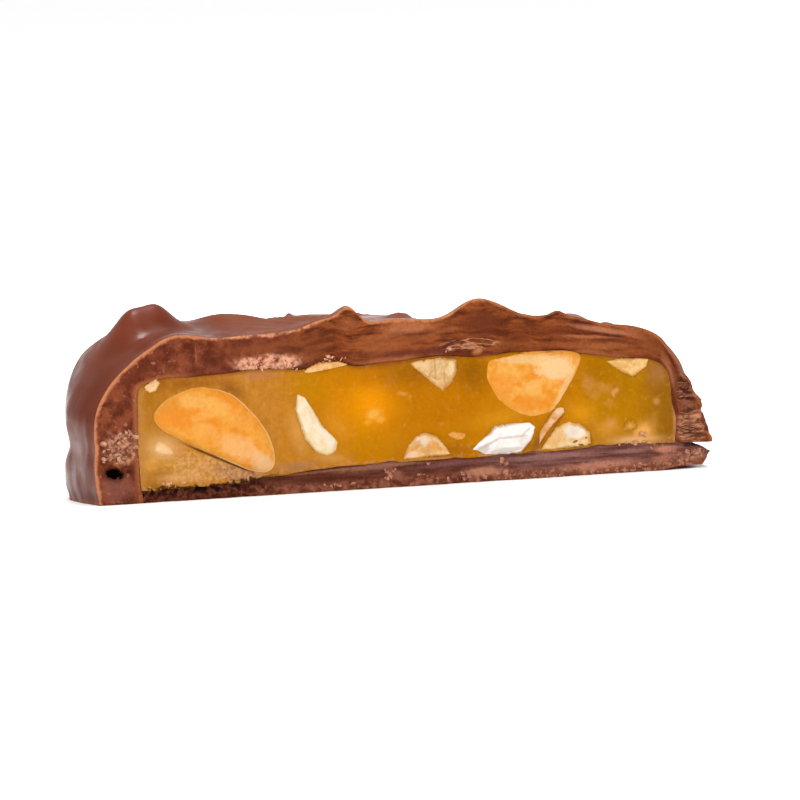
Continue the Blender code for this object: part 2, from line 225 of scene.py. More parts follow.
def baseThickness(x):
    # Thin at the left and thick from the middle on, plus a bell at the right and a slight waver
    thin, thick = slab["baseThin"], slab["baseThick"]
    grown = thin + (thick - thin) * smoothStep(x, slab["baseThickFrom"], slab["baseThickTo"])
    middle, spread, rise = slab["baseSwell"]
    return grown + rise * bell(x, middle, spread) + 0.10 * softNoise(x, 0.0, 0.0, 1.3, 34)


def baseShows(angle):
    # 1 where the base reaches the outside, under the right wall, and 0 where the coat stands on the floor
    return smoothStep(np.cos(angle), 0.62, 0.88)


def outerForm(a, b):
    # The rounded box carried round the planform: squarer at the right, where the shoulder slopes
    share, angle = discPlace(a, b)
    rightSide = smoothStep(np.cos(angle), 0.70, 0.97)
    square = np.maximum(rightSide, bell(np.degrees(angle), *patty["squareLeft"]))
    roundSide = profileAt(patty["roundPower"], patty["radius"], patty["topHeight"], share)
    squareSide = profileAt(patty["squarePower"], patty["radius"], patty["topHeight"], share)
    out, up = roundSide + (squareSide - roundSide) * square
    radius = planRadius(angle)
    x, y = fromMiddle(radius * out, angle)
    foot = baseThickness(x) * baseShows(angle)
    z = foot + (topHeight(x, y) - foot) * up
    slope = np.clip((z - patty["shoulderFrom"]) / (patty["shoulderTo"] - patty["shoulderFrom"]), 0.0, 1.0)
    shrink = 1.0 - patty["shoulderCut"] * rightSide * slope * smoothStep(out, 0.5, 0.95)
    onWall = smoothStep(out, 0.80, 1.0)
    flutes = patty["fluteDepth"] * np.sin(patty["flutes"] * angle + 1.3 * np.sin(5.0 * angle)) * onWall
    tuck = patty["footTuck"] * (1.0 - smoothStep(z, 0.0, patty["footTuckHeight"])) * onWall
    reach = radius * out * shrink + flutes * smoothStep(z, 1.0, 6.0) - tuck
    return np.stack([*fromMiddle(reach, angle), z], axis=-1)


def wallThickness(angle):
    # From the left wall's to the right wall's, by half of 1 + cosine
    return slab["wallLeft"] + (slab["wallRight"] - slab["wallLeft"]) * (0.5 + 0.5 * np.cos(angle))


def slabTop(x, y):
    # Level, dropping at the right, with bells over the pieces that press it up and a slow wave along it
    top = slab["top"] - slab["rightDrop"] * dropped(x)
    for middle, spread, rise in slab["topRises"]:
        top = top + rise * bell(x, middle, spread) * bell(y, 0.0, 4.0)
    top = top + 0.12 * np.sin(x / 3.1) - 0.2 * patty["backSlope"] * np.maximum(0.0, y)
    return top + 0.16 * softNoise(x, y, 5.0, 1.9, 32)


def slabForm(a, b):
    # The slab's top and sides: a boxy profile inside the walls, nearly square at the left
    share, angle = discPlace(a, b)
    halfWidth = patty["radius"] - slab["wallLeft"]
    plain = profileAt(slab["power"], halfWidth, slab["top"], share)
    boxy = profileAt(slab["leftPower"], halfWidth, slab["top"], share)
    out, up = plain + (boxy - plain) * smoothStep(-np.cos(angle), -0.2, 0.2)
    waver = 0.22 * softNoise(np.degrees(angle) / 4.0, share * 14.0, 0.0, 1.0, 31)
    radius = (planRadius(angle) - wallThickness(angle) + waver * smoothStep(out, 0.7, 1.0)) * out
    x, y = fromMiddle(radius, angle)
    return np.stack([x, y, slabTop(x, y) * up], axis=-1)


def normalOf(form, a, b):
    # The outward normal, from the form a small step either way along both parameters
    step = 0.004
    lowA, highA = np.maximum(a - step, -1.0), np.minimum(a + step, 1.0)
    lowB, highB = np.maximum(b - step, 0.0), np.minimum(b + step, 1.0)
    along = form(highA, b) - form(lowA, b)
    across = form(a, highB) - form(a, lowB)
    normal = np.cross(along, across)
    return normal / np.maximum(np.linalg.norm(normal, axis=-1, keepdims=True), 1e-9)


# Details of the skin: threads and hooked crests as arcs seen from above, and swells of the wall
skinDetail = dict(
    # start, end, bow, height, half width
    threads=(
        ((-20.5, 10.5), (-12.0, 16.5), 1.5, 0.35, 0.50),
        ((-12.0, 16.5), (-2.5, 12.0), -1.2, 0.30, 0.45),
        ((2.0, 15.0), (13.5, 20.5), 2.0, 0.32, 0.45),
        ((13.5, 20.5), (24.5, 14.0), -2.0, 0.28, 0.45),
        ((-6.0, 22.0), (3.0, 29.0), 1.4, 0.30, 0.50),
        ((-17.0, 22.0), (-9.0, 27.5), -1.5, 0.28, 0.45),
        ((14.0, 7.0), (20.0, 13.0), 1.0, 0.28, 0.45),
        ((-9.0, 17.0), (-3.5, 18.6), 0.5, 0.20, 0.32),
        ((5.5, 8.0), (10.5, 10.6), -0.5, 0.20, 0.32),
        ((16.0, 16.5), (21.5, 18.6), 0.4, 0.20, 0.32),
    ),
    crests=(
        ((-13.5, 15.5), (-10.2, 19.2), 1.3, 1.05, 0.75),
        ((1.2, 14.2), (4.0, 18.0), -1.2, 0.90, 0.70),
        ((12.4, 19.0), (16.2, 21.6), 1.3, 1.05, 0.75),
        ((-7.4, 20.6), (-4.8, 24.6), 1.1, 0.90, 0.70),
        ((21.6, 7.0), (23.6, 11.0), -1.0, 0.70, 0.65),
        ((-19.0, 24.2), (-15.2, 26.2), 0.9, 0.80, 0.65),
        ((6.2, 26.8), (10.2, 28.2), 0.9, 0.70, 0.65),
        ((-2.2, 18.6), (1.2, 21.2), 0.9, 0.60, 0.55),
        ((8.0, 13.2), (11.2, 11.4), 0.8, 0.50, 0.50),
        ((18.8, 21.2), (17.0, 24.6), 0.8, 0.60, 0.55),
        ((-25.0, 16.4), (-22.0, 18.6), -0.8, 0.60, 0.55),
        ((-9.0, 8.4), (-11.6, 11.2), -0.7, 0.45, 0.50),
        ((-13.0, 28.2), (-9.6, 29.0), 0.7, 0.55, 0.55),
    ),
    # direction in degrees, z, spread in degrees, spread in z, height
    wallSwells=(
        (148, 8.0, 8, 3.2, 0.70), (134, 5.5, 5, 4.0, -0.50), (119, 8.5, 7, 3.4, 0.60),
        (105, 5.5, 5, 4.0, -0.55), (92, 8.5, 7, 3.4, 0.65), (78, 6.0, 4, 4.0, -0.45),
        (62, 8.5, 7, 3.2, 0.65), (46, 5.5, 5, 4.0, -0.45), (30, 8.0, 6, 3.2, 0.50),
        (140, 11.0, 3, 1.6, 0.30), (97, 3.5, 3, 1.8, 0.25), (68, 4.5, 3, 1.6, 0.30),
    ),
)


def arcRidge(x, y, start, end, bow, height, width, taper=0.0):
    # A ridge along a bowed line: height times exp(-(distance / width)^1.6), faded at both ends as a sine
    # and thinner towards its end by the taper
    start, end = np.array(start), np.array(end)
    run = end - start
    side = np.array([-run[1], run[0]]) / np.hypot(*run)
    samples = 33
    share = np.linspace(0.0, 1.0, samples)
    line = start + run * share[:, None] + side * (bow * 4.0 * share * (1.0 - share))[:, None]
    away = np.hypot(x[:, None] - line[:, 0], y[:, None] - line[:, 1])
    nearest = away.argmin(axis=1)
    thinner = 1.0 - taper * share[nearest]
    fade = np.sin(np.pi * np.clip(share[nearest] ** (1.0 - 0.5 * taper), 0.04, 0.96)) ** 0.6
    return height * thinner * fade * np.exp(-(away[np.arange(len(x)), nearest] / (width * thinner)) ** 1.6)


def skinRelief(place):
    # How far the chocolate stands out from its plain form: swells, threads, crests and a foot lip
    x, y, z = place.T
    angle = np.degrees(np.arctan2(y, x))
    behind = smoothStep(y, 2.0, 8.0)
    relief = (0.18 + 0.17 * behind) * roughNoise(x, y, z, 8.0, 41) + 0.05 * softNoise(x, y, z, 2.2, 45)
    onTop = smoothStep(z, 9.0, 12.0)
    for thread in skinDetail["threads"]:
        relief = relief + onTop * arcRidge(x, y, *thread)
    for crest in skinDetail["crests"]:
        relief = relief + onTop * arcRidge(x, y, *crest, 0.6)
    for direction, middle, spread, tall, height in skinDetail["wallSwells"]:
        relief = relief + height * bell(angle, direction, spread) * bell(z, middle, tall)
    # The left wall is full above, drawn in below the middle and again at the floor
    leftWall = bell(angle, 166.0, 16.0)
    creases = 0.09 * softNoise(angle, 0.0, z, (2.4, 1.0, 5.0), 57) * smoothStep(z, 10.0, 7.0)
    waist = creases + 0.30 * bell(z, 8.6, 1.6) - 0.35 * bell(z, 12.8, 2.0) - 0.35 * bell(z, 5.2, 1.3)
    relief = relief + leftWall * (waist - 0.20 * bell(z, 2.4, 1.2) - 0.35 * bell(z, 0.0, 0.9))
    # The right wall is ragged where the knife left it
    atKnife = bell(y, 0.0, 1.6) * smoothStep(x, 26.0, 28.0) * smoothStep(z, 11.0, 8.0)
    relief = relief + 0.65 * atKnife * roughNoise(x, y, z, (1.3, 1.1, 0.95), 56)
    ragged = softNoise(angle, 0.0, 0.0, 5.0, 51) + 0.5 * softNoise(angle, 0.0, 0.0, 1.6, 52)
    flare = 0.25 + 0.75 * smoothStep(angle, 150.0, 125.0)
    lip = np.clip(0.50 + 0.45 * ragged, 0.05, 0.95) * bell(z, 0.0, 0.6)
    return relief + flare * (lip * (1.0 - baseShows(np.radians(angle))))


def skinForm(a, b):
    # The outer form, moved out along its normal by the relief
    plain = outerForm(a, b)
    return plain + normalOf(outerForm, a, b) * skinRelief(plain)[:, None]


def crumbledShare(x, z):
    # The deepest of the crumbled patches here, each its bite times exp(-distance^3)
    share = 0.0
    for patchX, patchZ, width, height, bite in crumbledPatches:
        away = ((x - patchX) / width) ** 2 + ((z - patchZ) / height) ** 2
        share = np.maximum(share, bite * np.exp(-away ** 1.5))
    return share


def cutRelief(x, z):
    # How deep the cut lies behind its plane: drag lines, bites in the crumbled patches, a void and a slit
    dragged = 0.03 + 0.04 * smoothStep(x, -12.0, -6.0)
    relief = dragged * softNoise(x, 0.0, z, (7.0, 1.0, 0.4), 61) + 0.09 * softNoise(x, 0.0, z, 3.0, 62)
    crumbs = 0.35 + 1.1 * roughNoise(x, 0.0, z, 1.0, 63) + 0.45 * softNoise(x, 0.0, z, 0.42, 67)
    layers = softNoise(x, 0.0, z, (1.4, 1.0, 0.32), 64) + 0.5 * softNoise(x, 0.0, z, (0.6, 1.0, 0.2), 65)
    inRightWall = smoothStep(x, 27.0, 28.2) * bell(z, 4.3, 2.4)
    relief = relief + crumbledShare(x, z) * crumbs + 0.14 * inRightWall * layers
    ragged = 0.30 * roughNoise(x, 0.0, z, 0.8, 68)
    voidX = (x - cornerVoid["middle"][0] + ragged) / cornerVoid["size"][0]
    voidZ = (z - cornerVoid["middle"][1] + ragged) / cornerVoid["size"][1]
    relief = relief + cornerVoid["depth"] * np.exp(-(voidX ** 2 + voidZ ** 2) ** 2)
    start, height, half, depth = footSlit
    return relief + depth * smoothStep(x, start, start + 1.0) * np.exp(-np.abs((z - height) / half) ** 3)


def meshFromArrays(name, points, faceSets, values=None, second=None):
    # Puts points in millimetres and faces into a mesh, with named values at the points. Where second is
    # given, it says which faces have the second material
    mesh = bpy.data.meshes.new(name)
    mesh.vertices.add(len(points))
    mesh.vertices.foreach_set("co", ((points + cutPlace) * mm).astype(np.float32).ravel())
    sizes = np.concatenate([np.full(len(faces), faces.shape[1]) for faces in faceSets])
    corners = np.concatenate([faces.ravel() for faces in faceSets])
    mesh.loops.add(len(corners))
    mesh.loops.foreach_set("vertex_index", corners.astype(np.int32))
    mesh.polygons.add(len(sizes))
    starts = np.concatenate([[0], np.cumsum(sizes)[:-1]])
    mesh.polygons.foreach_set("loop_start", starts.astype(np.int32))
    for label, value in (values or {}).items():
        layer = mesh.attributes.new(label, "FLOAT", "POINT")
        layer.data.foreach_set("value", np.asarray(value, dtype=np.float32))
    mesh.polygons.foreach_set("use_smooth", np.full(len(sizes), True))
    if second is not None:
        mesh.polygons.foreach_set("material_index", second.astype(np.int32))
    mesh.update(calc_edges=True)
    mesh.validate()
    piece = bpy.data.objects.new(name, mesh)
    bpy.context.scene.collection.objects.link(piece)
    return piece


def latticeBlock(name, counts, spacing, place, measure=None):
    # The skin of a block of a x b x s cells: a runs along the cut, b into the patty, closer near the cut by
    # the power of the spacing, and s outwards or upwards. The faces on the cut have the second material
    ids = np.full([count + 1 for count in counts], -1)
    i, j, k = np.indices(ids.shape)
    na, nb, ns = counts
    onSkin = (i == 0) | (i == na) | (j == 0) | (j == nb) | (k == 0) | (k == ns)
    ids[onSkin] = np.arange(onSkin.sum())
    a = -1.0 + 2.0 * i[onSkin] / na
    b = (j[onSkin] / nb) ** spacing
    s = k[onSkin] / ns
    cutSide = ids[:, 0, :]
    sides = ((ids[:, :, -1], False), (ids[:, :, 0], True), (cutSide, False))
    sides += ((ids[:, -1, :], True), (ids[0, :, :], True), (ids[-1, :, :], False))
    faces, onCut = [], []
    for side, turned in sides:
        quads = np.stack([side[:-1, :-1], side[1:, :-1], side[1:, 1:], side[:-1, 1:]], axis=-1).reshape(-1, 4)
        faces.append(quads[:, ::-1] if turned else quads)
        onCut.append(np.full(len(quads), side is cutSide))
    values = measure(a, b, s) if measure else {}
    return meshFromArrays(name, place(a, b, s), faces, values, np.concatenate(onCut))


def buildCoat():
    # Straight from the slab's form, raised to the base's top where that shows, to the skin's form
    def place(a, b, s):
        outer, inner = skinForm(a, b), slabForm(a, b)
        angle = np.arctan2(outer[:, 1], outer[:, 0])
        inner[:, 2] = np.maximum(inner[:, 2], baseThickness(inner[:, 0]) * baseShows(angle))
        points = inner + (outer - inner) * s[:, None]
        points[:, 1] += cutRelief(points[:, 0], points[:, 2]) * nearCut(points[:, 1])
        return points

    def measure(a, b, s):
        thickness = np.linalg.norm(skinForm(a, b) - slabForm(a, b), axis=-1)
        return dict(rimDistance=(1.0 - s) * thickness, innerDistance=s * thickness)

    return latticeBlock("chocolateCoat", (330, 112, 18), 1.2, place, measure)


def buildBase():
    # The planform less an inset, from the floor up to the base's thickness, with a ragged round edge
    def place(a, b, s):
        share, angle = discPlace(a, b)
        reach = slab["baseInset"] - slab["baseShift"] * np.cos(angle)
        inset = wallThickness(angle) + (reach - wallThickness(angle)) * baseShows(angle)
        inset = inset + ((s - 0.45) / 0.55) ** 2 * baseShows(angle)
        ragged = 0.40 * roughNoise(np.degrees(angle), s * 3.0, 0.0, (6.0, 1.0, 1.0), 71)
        radius = (planRadius(angle) - inset + ragged * smoothStep(share, 0.9, 1.0)) * share
        x, y = fromMiddle(radius, angle)
        foot = 0.35 * smoothStep(x, 25.0, 28.5)
        lowered = 0.20 * smoothStep(x, 27.2, 29.8)
        z = foot + (baseThickness(x) - lowered - foot) * s + 0.06 * roughNoise(x, y, 0.0, 1.2, 72) * s
        lowEdge = 0.30 * np.maximum(0.0, roughNoise(x, 0.0, z, 1.0, 73)) * (1.0 - smoothStep(z, 0.3, 1.1))
        y = y + (cutRelief(x, z) + lowEdge) * nearCut(y)
        return np.stack([x, y, z], axis=-1)

    return latticeBlock("chocolateBase", (300, 40, 16), 1.3, place)


# The dark crack along the lower edge of the left peanut, as x and z
crackBelow = dict(start=(-22.6, 6.05), end=(-13.9, 1.80), deepFrom=-20.0, deepTo=-15.5, half=0.11, depth=0.30)


def buildCaramel():
    # Straight from the base's top to the slab's form; the relief goes in from the cut, with a groove whose
    # depth is a bell of the distance from the crack's line
    def place(a, b, s):
        share, angle = discPlace(a, b)
        top = slabForm(a, b)
        x, y = fromMiddle((planRadius(angle) - wallThickness(angle)) * share, angle)
        bottom = np.stack([x, y, baseThickness(x)], axis=-1)
        top[:, 2] = np.maximum(top[:, 2], baseThickness(top[:, 0]))
        points = bottom + (top - bottom) * s[:, None]
        x, y, z = points.T
        relief = 0.10 * softNoise(x, 0.0, z, 2.6, 81) + 0.02 * softNoise(x, 0.0, z, (0.5, 1.0, 3.5), 82)
        granular = bell(x, -21.5, 5.5) * bell(z, 3.0, 2.0) * 0.14 * roughNoise(x, 0.0, z, 0.6, 83)
        (startX, startZ), (endX, endZ) = crackBelow["start"], crackBelow["end"]
        below = z - startZ - (x - startX) * (endZ - startZ) / (endX - startX)
        along = smoothStep(x, startX, crackBelow["deepFrom"]) * smoothStep(x, endX, crackBelow["deepTo"])
        groove = crackBelow["depth"] * along * bell(below, 0.0, crackBelow["half"])
        points[:, 1] += (relief + granular + groove - 0.04) * nearCut(y)
        return points

    def measure(a, b, s):
        return dict(topDistance=(1.0 - s) * slab["top"])

    return latticeBlock("caramelSlab", (300, 14, 60), 1.6, place, measure)


# Peanut pieces: their corners on the cut, how far they stand proud, how deep they go in, how steep their
# edge is, how often the outline is rounded, how strongly the front is broken into planes, how rough it is,
# and the size of its speckle. The rim is laid along the edge; where it grows strong from one x to another,
# as on the left half, it is a painted highlight.
# Marks are patches of colour: x, z, half width, half height, tilt in degrees, strength, colour; markEdge
# says how soft their edges are and ragged how broken
peanutHalves = dict(
    peanut_half_left=dict(
        corners=(
            (-24.8, 8.3), (-23.6, 9.9), (-22.0, 10.8), (-20.1, 11.2), (-18.4, 11.0), (-16.6, 10.3),
            (-15.4, 9.2), (-14.2, 7.8), (-13.3, 6.2), (-12.8, 4.7), (-12.6, 3.2), (-12.7, 2.4), (-13.5, 2.1),
            (-15.2, 2.6), (-17.1, 3.5), (-19.5, 4.7), (-21.9, 6.0), (-24.5, 7.6),
        ),
        proud=0.60, depth=4.0, edge=6.0, rounding=3, planes=0.0, rough=0.06, speckle=1.6,
        markEdge=(0.22, 0.78), ragged=0.9,
        # Its light rim is a painted highlight, which grows strong from x -19 to -16.5
        light=(248, 172, 68), dark=(242, 150, 42), rim=(255, 212, 134), rimWidth=0.30,
        rimHighlightFrom=(-19.0, -16.5),
        marks=(
            (-20.6, 9.7, 1.9, 0.8, -6, 0.45, (255, 200, 112)),
            (-18.2, 9.1, 1.7, 1.0, -24, 0.45, (254, 194, 104)),
            (-19.6, 8.3, 1.5, 0.5, 10, 0.35, (254, 190, 100)),
            (-16.0, 7.4, 1.6, 0.8, -30, 0.3, (250, 178, 84)),
            (-14.0, 3.3, 1.9, 1.0, -40, 0.75, (246, 200, 150)),
            (-23.2, 8.2, 1.8, 1.0, 10, 0.6, (244, 146, 40)),
            (-22.8, 9.5, 1.3, 0.7, 36, 0.6, (228, 144, 42)),
            (-16.2, 4.9, 2.4, 1.3, -28, 0.7, (255, 192, 122)),
            (-19.4, 6.9, 1.5, 0.8, -28, 0.5, (255, 186, 98)),
        ),
    ),
    peanut_half_right=dict(
        corners=(
            (8.2, 12.3), (10.2, 12.5), (13.4, 12.6), (16.9, 12.5), (18.5, 12.0), (17.4, 9.6), (16.2, 7.5),
            (15.5, 6.6), (14.8, 6.2), (13.0, 5.9), (11.4, 6.5), (9.7, 7.6), (8.7, 9.3), (8.3, 10.9),
        ),
        proud=0.45, depth=4.0, edge=7.0, rounding=1, planes=0.1, rough=0.09, speckle=1.2,
        markEdge=(0.25, 0.75), ragged=0.9,
        light=(250, 184, 86), dark=(242, 150, 34), rim=(240, 166, 70), rimWidth=0.35,
        marks=(
            (15.6, 10.9, 2.4, 1.5, -15, 0.85, (254, 214, 156)),
            (12.6, 11.9, 3.2, 0.5, 0, 0.7, (252, 204, 140)),
            (16.6, 8.9, 2.6, 0.5, 58, 0.7, (250, 206, 142)),
            (13.4, 9.4, 0.9, 0.5, 20, 0.5, (253, 196, 120)),
            (10.2, 9.4, 1.4, 1.6, 0, 0.5, (246, 150, 48)),
            (12.6, 7.4, 1.9, 0.9, 5, 0.65, (240, 146, 34)),
        ),
    ),
)

peanutPieces = dict(
    peanut_sliver_middle=dict(
        corners=(
            (-10.2, 9.9), (-9.5, 9.6), (-8.6, 8.0), (-7.8, 6.5), (-6.8, 5.4), (-6.3, 4.7), (-6.6, 3.9),
            (-7.5, 3.5), (-8.6, 4.0), (-9.6, 5.2), (-10.1, 6.9), (-10.5, 8.4),
        ),
        proud=0.28, depth=3.4, edge=14.0, planes=0.6, rough=0.05, speckle=0.9,
        light=(255, 242, 212), dark=(254, 226, 178), rim=(242, 196, 122), rimWidth=0.40,
        marks=(
            (-7.6, 5.6, 1.9, 0.35, -58, 0.8, (255, 240, 222)),
            (-6.4, 4.6, 0.4, 1.0, -30, 0.6, (246, 196, 132)),
        ),
    ),
    peanut_wedge_top=dict(
        corners=(
            (1.1, 12.2), (2.2, 12.6), (4.2, 12.6), (5.8, 12.3), (5.8, 11.1), (5.3, 10.1), (4.3, 9.2),
            (3.3, 10.0), (2.4, 10.9), (1.5, 11.7),
        ),
        proud=0.25, depth=3.8, edge=16.0, planes=0.7, rough=0.06, speckle=0.5,
        light=(244, 206, 152), dark=(222, 172, 106), rim=(212, 152, 76), rimWidth=0.45,
        marks=(
            (5.3, 11.4, 0.4, 0.9, 8, 0.7, (250, 222, 172)),
            (2.2, 12.0, 1.0, 0.3, -10, 0.6, (248, 206, 154)),
            (3.6, 11.4, 0.10, 1.0, 0, 0.6, (196, 146, 88)),
            (4.5, 10.6, 0.10, 1.1, 4, 0.6, (196, 146, 88)),
            (3.0, 10.9, 0.09, 0.6, -30, 0.5, (196, 140, 80)),
            (4.3, 9.7, 0.8, 0.5, 0, 0.5, (226, 160, 80)),
        ),
    ),
    peanut_flake_top=dict(
        corners=(
            (-9.6, 11.9), (-9.1, 12.3), (-7.8, 12.8), (-5.9, 12.75), (-4.9, 12.4), (-6.2, 12.15),
            (-7.7, 11.95), (-9.0, 11.8),
        ),
        proud=0.22, depth=2.2, edge=16.0, planes=0.5, rough=0.05, speckle=0.7,
        light=(250, 206, 142), dark=(240, 172, 98), rim=(228, 162, 86), rimWidth=0.30,
    ),
    peanut_flake_right=dict(
        corners=(
            (20.8, 11.2), (22.3, 11.4), (25.2, 11.2), (25.0, 10.5), (23.4, 9.5), (22.4, 10.0), (21.5, 10.6),
        ),
        proud=0.22, depth=2.6, edge=16.0, planes=0.6, rough=0.05, speckle=0.7,
        light=(252, 212, 146), dark=(240, 186, 110), rim=(222, 162, 76), rimWidth=0.40,
        marks=((22.2, 10.7, 0.9, 0.3, -10, 0.6, (232, 168, 84)),),
    ),
    peanut_chunk_low=dict(
        corners=((0.0, 2.7), (0.6, 4.1), (1.4, 4.9), (2.4, 5.3), (3.5, 4.8), (4.2, 4.0), (4.9, 2.9)),
        proud=0.35, depth=3.2, edge=16.0, planes=1.0, rough=0.07, speckle=0.8,
        light=(250, 214, 160), dark=(240, 184, 108), rim=(230, 168, 88), rimWidth=0.35,
        marks=(
            (2.0, 4.5, 0.8, 0.45, -10, 0.8, (252, 232, 206)),
            (0.9, 3.1, 0.7, 0.35, 20, 0.8, (253, 216, 182)),
            # Orange patches beside the white facets: painted shadows
            (1.3, 4.0, 0.7, 0.35, 45, 0.6, (226, 150, 62)),
            (3.1, 3.9, 0.9, 0.4, -35, 0.6, (232, 156, 62)),
            (2.2, 3.5, 0.8, 0.3, 10, 0.5, (236, 170, 86)),
            (4.1, 3.2, 0.35, 0.25, 0, 0.7, (250, 206, 120)),
        ),
        ragged=0.9,
    ),
    peanut_piece_white=dict(
        corners=(
            (6.7, 3.2), (7.8, 4.1), (8.8, 4.8), (9.3, 5.4), (11.0, 5.6), (13.0, 5.7), (13.6, 5.2),
            (12.9, 3.8), (11.9, 2.7), (10.4, 2.6), (7.9, 2.6),
        ),
        proud=0.32, depth=3.4, edge=14.0, planes=0.7, rough=0.05, speckle=0.9,
        # Its paint is made brighter than its tones by a smaller light: a painted glare on the white cut
        light=(255, 250, 246, 1.75), dark=(246, 236, 230, 1.80), rim=(236, 210, 180), rimWidth=0.30,
        marks=(
            # Grey lines in its creases and greyish patches at its lower left and right: painted shade
            (8.6, 3.7, 1.4, 0.16, 28, 0.5, (180, 162, 154)),
            (11.0, 4.3, 1.5, 0.15, 2, 0.45, (186, 168, 158)),
            (12.5, 4.8, 0.7, 0.12, 38, 0.5, (190, 170, 158)),
            (10.2, 3.0, 1.9, 0.30, 6, 0.6, (206, 190, 180)),
            (7.8, 3.1, 1.0, 0.5, 20, 0.6, (206, 190, 180)),
            (12.3, 3.8, 0.7, 0.7, 50, 0.4, (228, 214, 206)),
        ),
    ),
    peanut_sliver_skin=dict(
        corners=(
            (13.7, 4.5), (14.6, 5.8), (15.6, 7.0), (16.4, 7.0), (16.5, 6.5), (15.5, 5.6), (14.2, 4.2),
            (13.7, 3.3),
        ),
        proud=0.25, depth=2.4, edge=12.0, planes=0.4, rough=0.05, speckle=0.6,
        light=(248, 194, 138), dark=(228, 158, 94), rim=(212, 146, 76), rimWidth=0.25,
        marks=((15.9, 6.6, 0.5, 0.35, 30, 0.7, (252, 216, 176)),),
    ),
    peanut_chunk_right=dict(
        corners=(
            (13.8, 2.8), (14.4, 3.7), (15.4, 4.9), (16.7, 5.5), (17.9, 5.2), (18.9, 4.2), (18.9, 3.2),
            (18.3, 2.9), (15.0, 2.75),
        ),
        proud=0.35, depth=3.4, edge=14.0, planes=0.9, rough=0.09, speckle=0.7,
        light=(252, 222, 172), dark=(244, 192, 118), rim=(236, 186, 106), rimWidth=0.40,
        marks=(
            (17.3, 4.4, 1.0, 0.7, -10, 0.9, (254, 242, 224)),
            (15.2, 3.6, 0.9, 0.5, 40, 0.5, (244, 184, 100)),
            # Dark pits: painted shade in them
            (17.2, 3.5, 0.28, 0.12, 20, 0.85, (96, 66, 40)),
            (17.8, 3.1, 0.32, 0.14, -15, 0.85, (80, 50, 30)),
            (18.3, 3.8, 0.16, 0.12, 0, 0.8, (120, 84, 50)),
            (16.5, 3.0, 0.20, 0.10, 10, 0.7, (140, 100, 66)),
        ),
        ragged=0.9,
    ),
)


def ovalCorners(x, z, length, width, tilt):
    # Eight corners round an oval, pushed in and out by a sine of three waves
    turn = np.linspace(0.0, 2.0 * np.pi, 8, endpoint=False)
    swell = 1.0 + 0.16 * np.sin(3.0 * turn + x)
    across, up = turnedAxes(length * swell * np.cos(turn), width * swell * np.sin(turn), -tilt)
    return np.stack([x + across, z + up], axis=-1)


# Bits fused to the slab: the oval's x, z, half length, half width and tilt, how far it stands proud,
# its two colours, and the colour and width of its edge, where it sinks into the caramel
caramelBits = dict(
    bitTopLeft=((-24.4, 11.45, 0.9, 0.55, 30), 0.20, (254, 216, 164), (242, 186, 120), (226, 170, 96), 0.2),
    bitLeft=((-23.7, 5.2, 1.1, 0.75, -25), 0.16, (255, 218, 170), (250, 200, 140), (234, 180, 104), 0.4),
    bitMiddle=((5.5, 4.75, 1.1, 0.5, -14), 0.18, (244, 180, 96), (230, 150, 52), (212, 138, 26), 0.25),
    bitRight=((21.4, 8.0, 0.9, 0.6, 50), 0.07, (224, 156, 84), (208, 138, 48), (188, 124, 6), 0.5),
    bitLowRight=((22.9, 4.6, 0.8, 0.55, 20), 0.07, (236, 176, 100), (214, 148, 44), (192, 128, 6), 0.45),
)


def outlineReach(corners, turn):
    # How far the outline lies in each direction: where a ray from the middle crosses one of its edges
    tiny, slack = 1e-9, 1e-6
    run = np.roll(corners, -1, axis=0) - corners
    ray = np.stack([np.cos(turn), np.sin(turn)])[:, :, None]
    bottom = ray[0] * run[:, 1] - ray[1] * run[:, 0]
    bottom = np.where(np.abs(bottom) < tiny, tiny, bottom)
    reach = (corners[:, 0] * run[:, 1] - corners[:, 1] * run[:, 0]) / bottom
    share = (corners[:, 0] * ray[1] - corners[:, 1] * ray[0]) / bottom
    return np.where((share >= -slack) & (share <= 1.0 + slack) & (reach > 0.0), reach, 0.0).max(axis=1)


def ringFaces(around, rows):
    # Quads between the rings, and triangles to the first and the last point, the two poles
    index = np.arange(around * rows).reshape(around, rows)
    after = np.roll(index, -1, axis=0)
    quads = np.stack([index[:, :-1], index[:, 1:], after[:, 1:], after[:, :-1]], axis=-1).reshape(-1, 4)
    front, back = around * rows, around * rows + 1
    first = np.stack([np.full(around, front), index[:, 0], after[:, 0]], axis=-1)
    last = np.stack([np.full(around, back), after[:, -1], index[:, -1]], axis=-1)
    return quads, np.vstack([first, last])


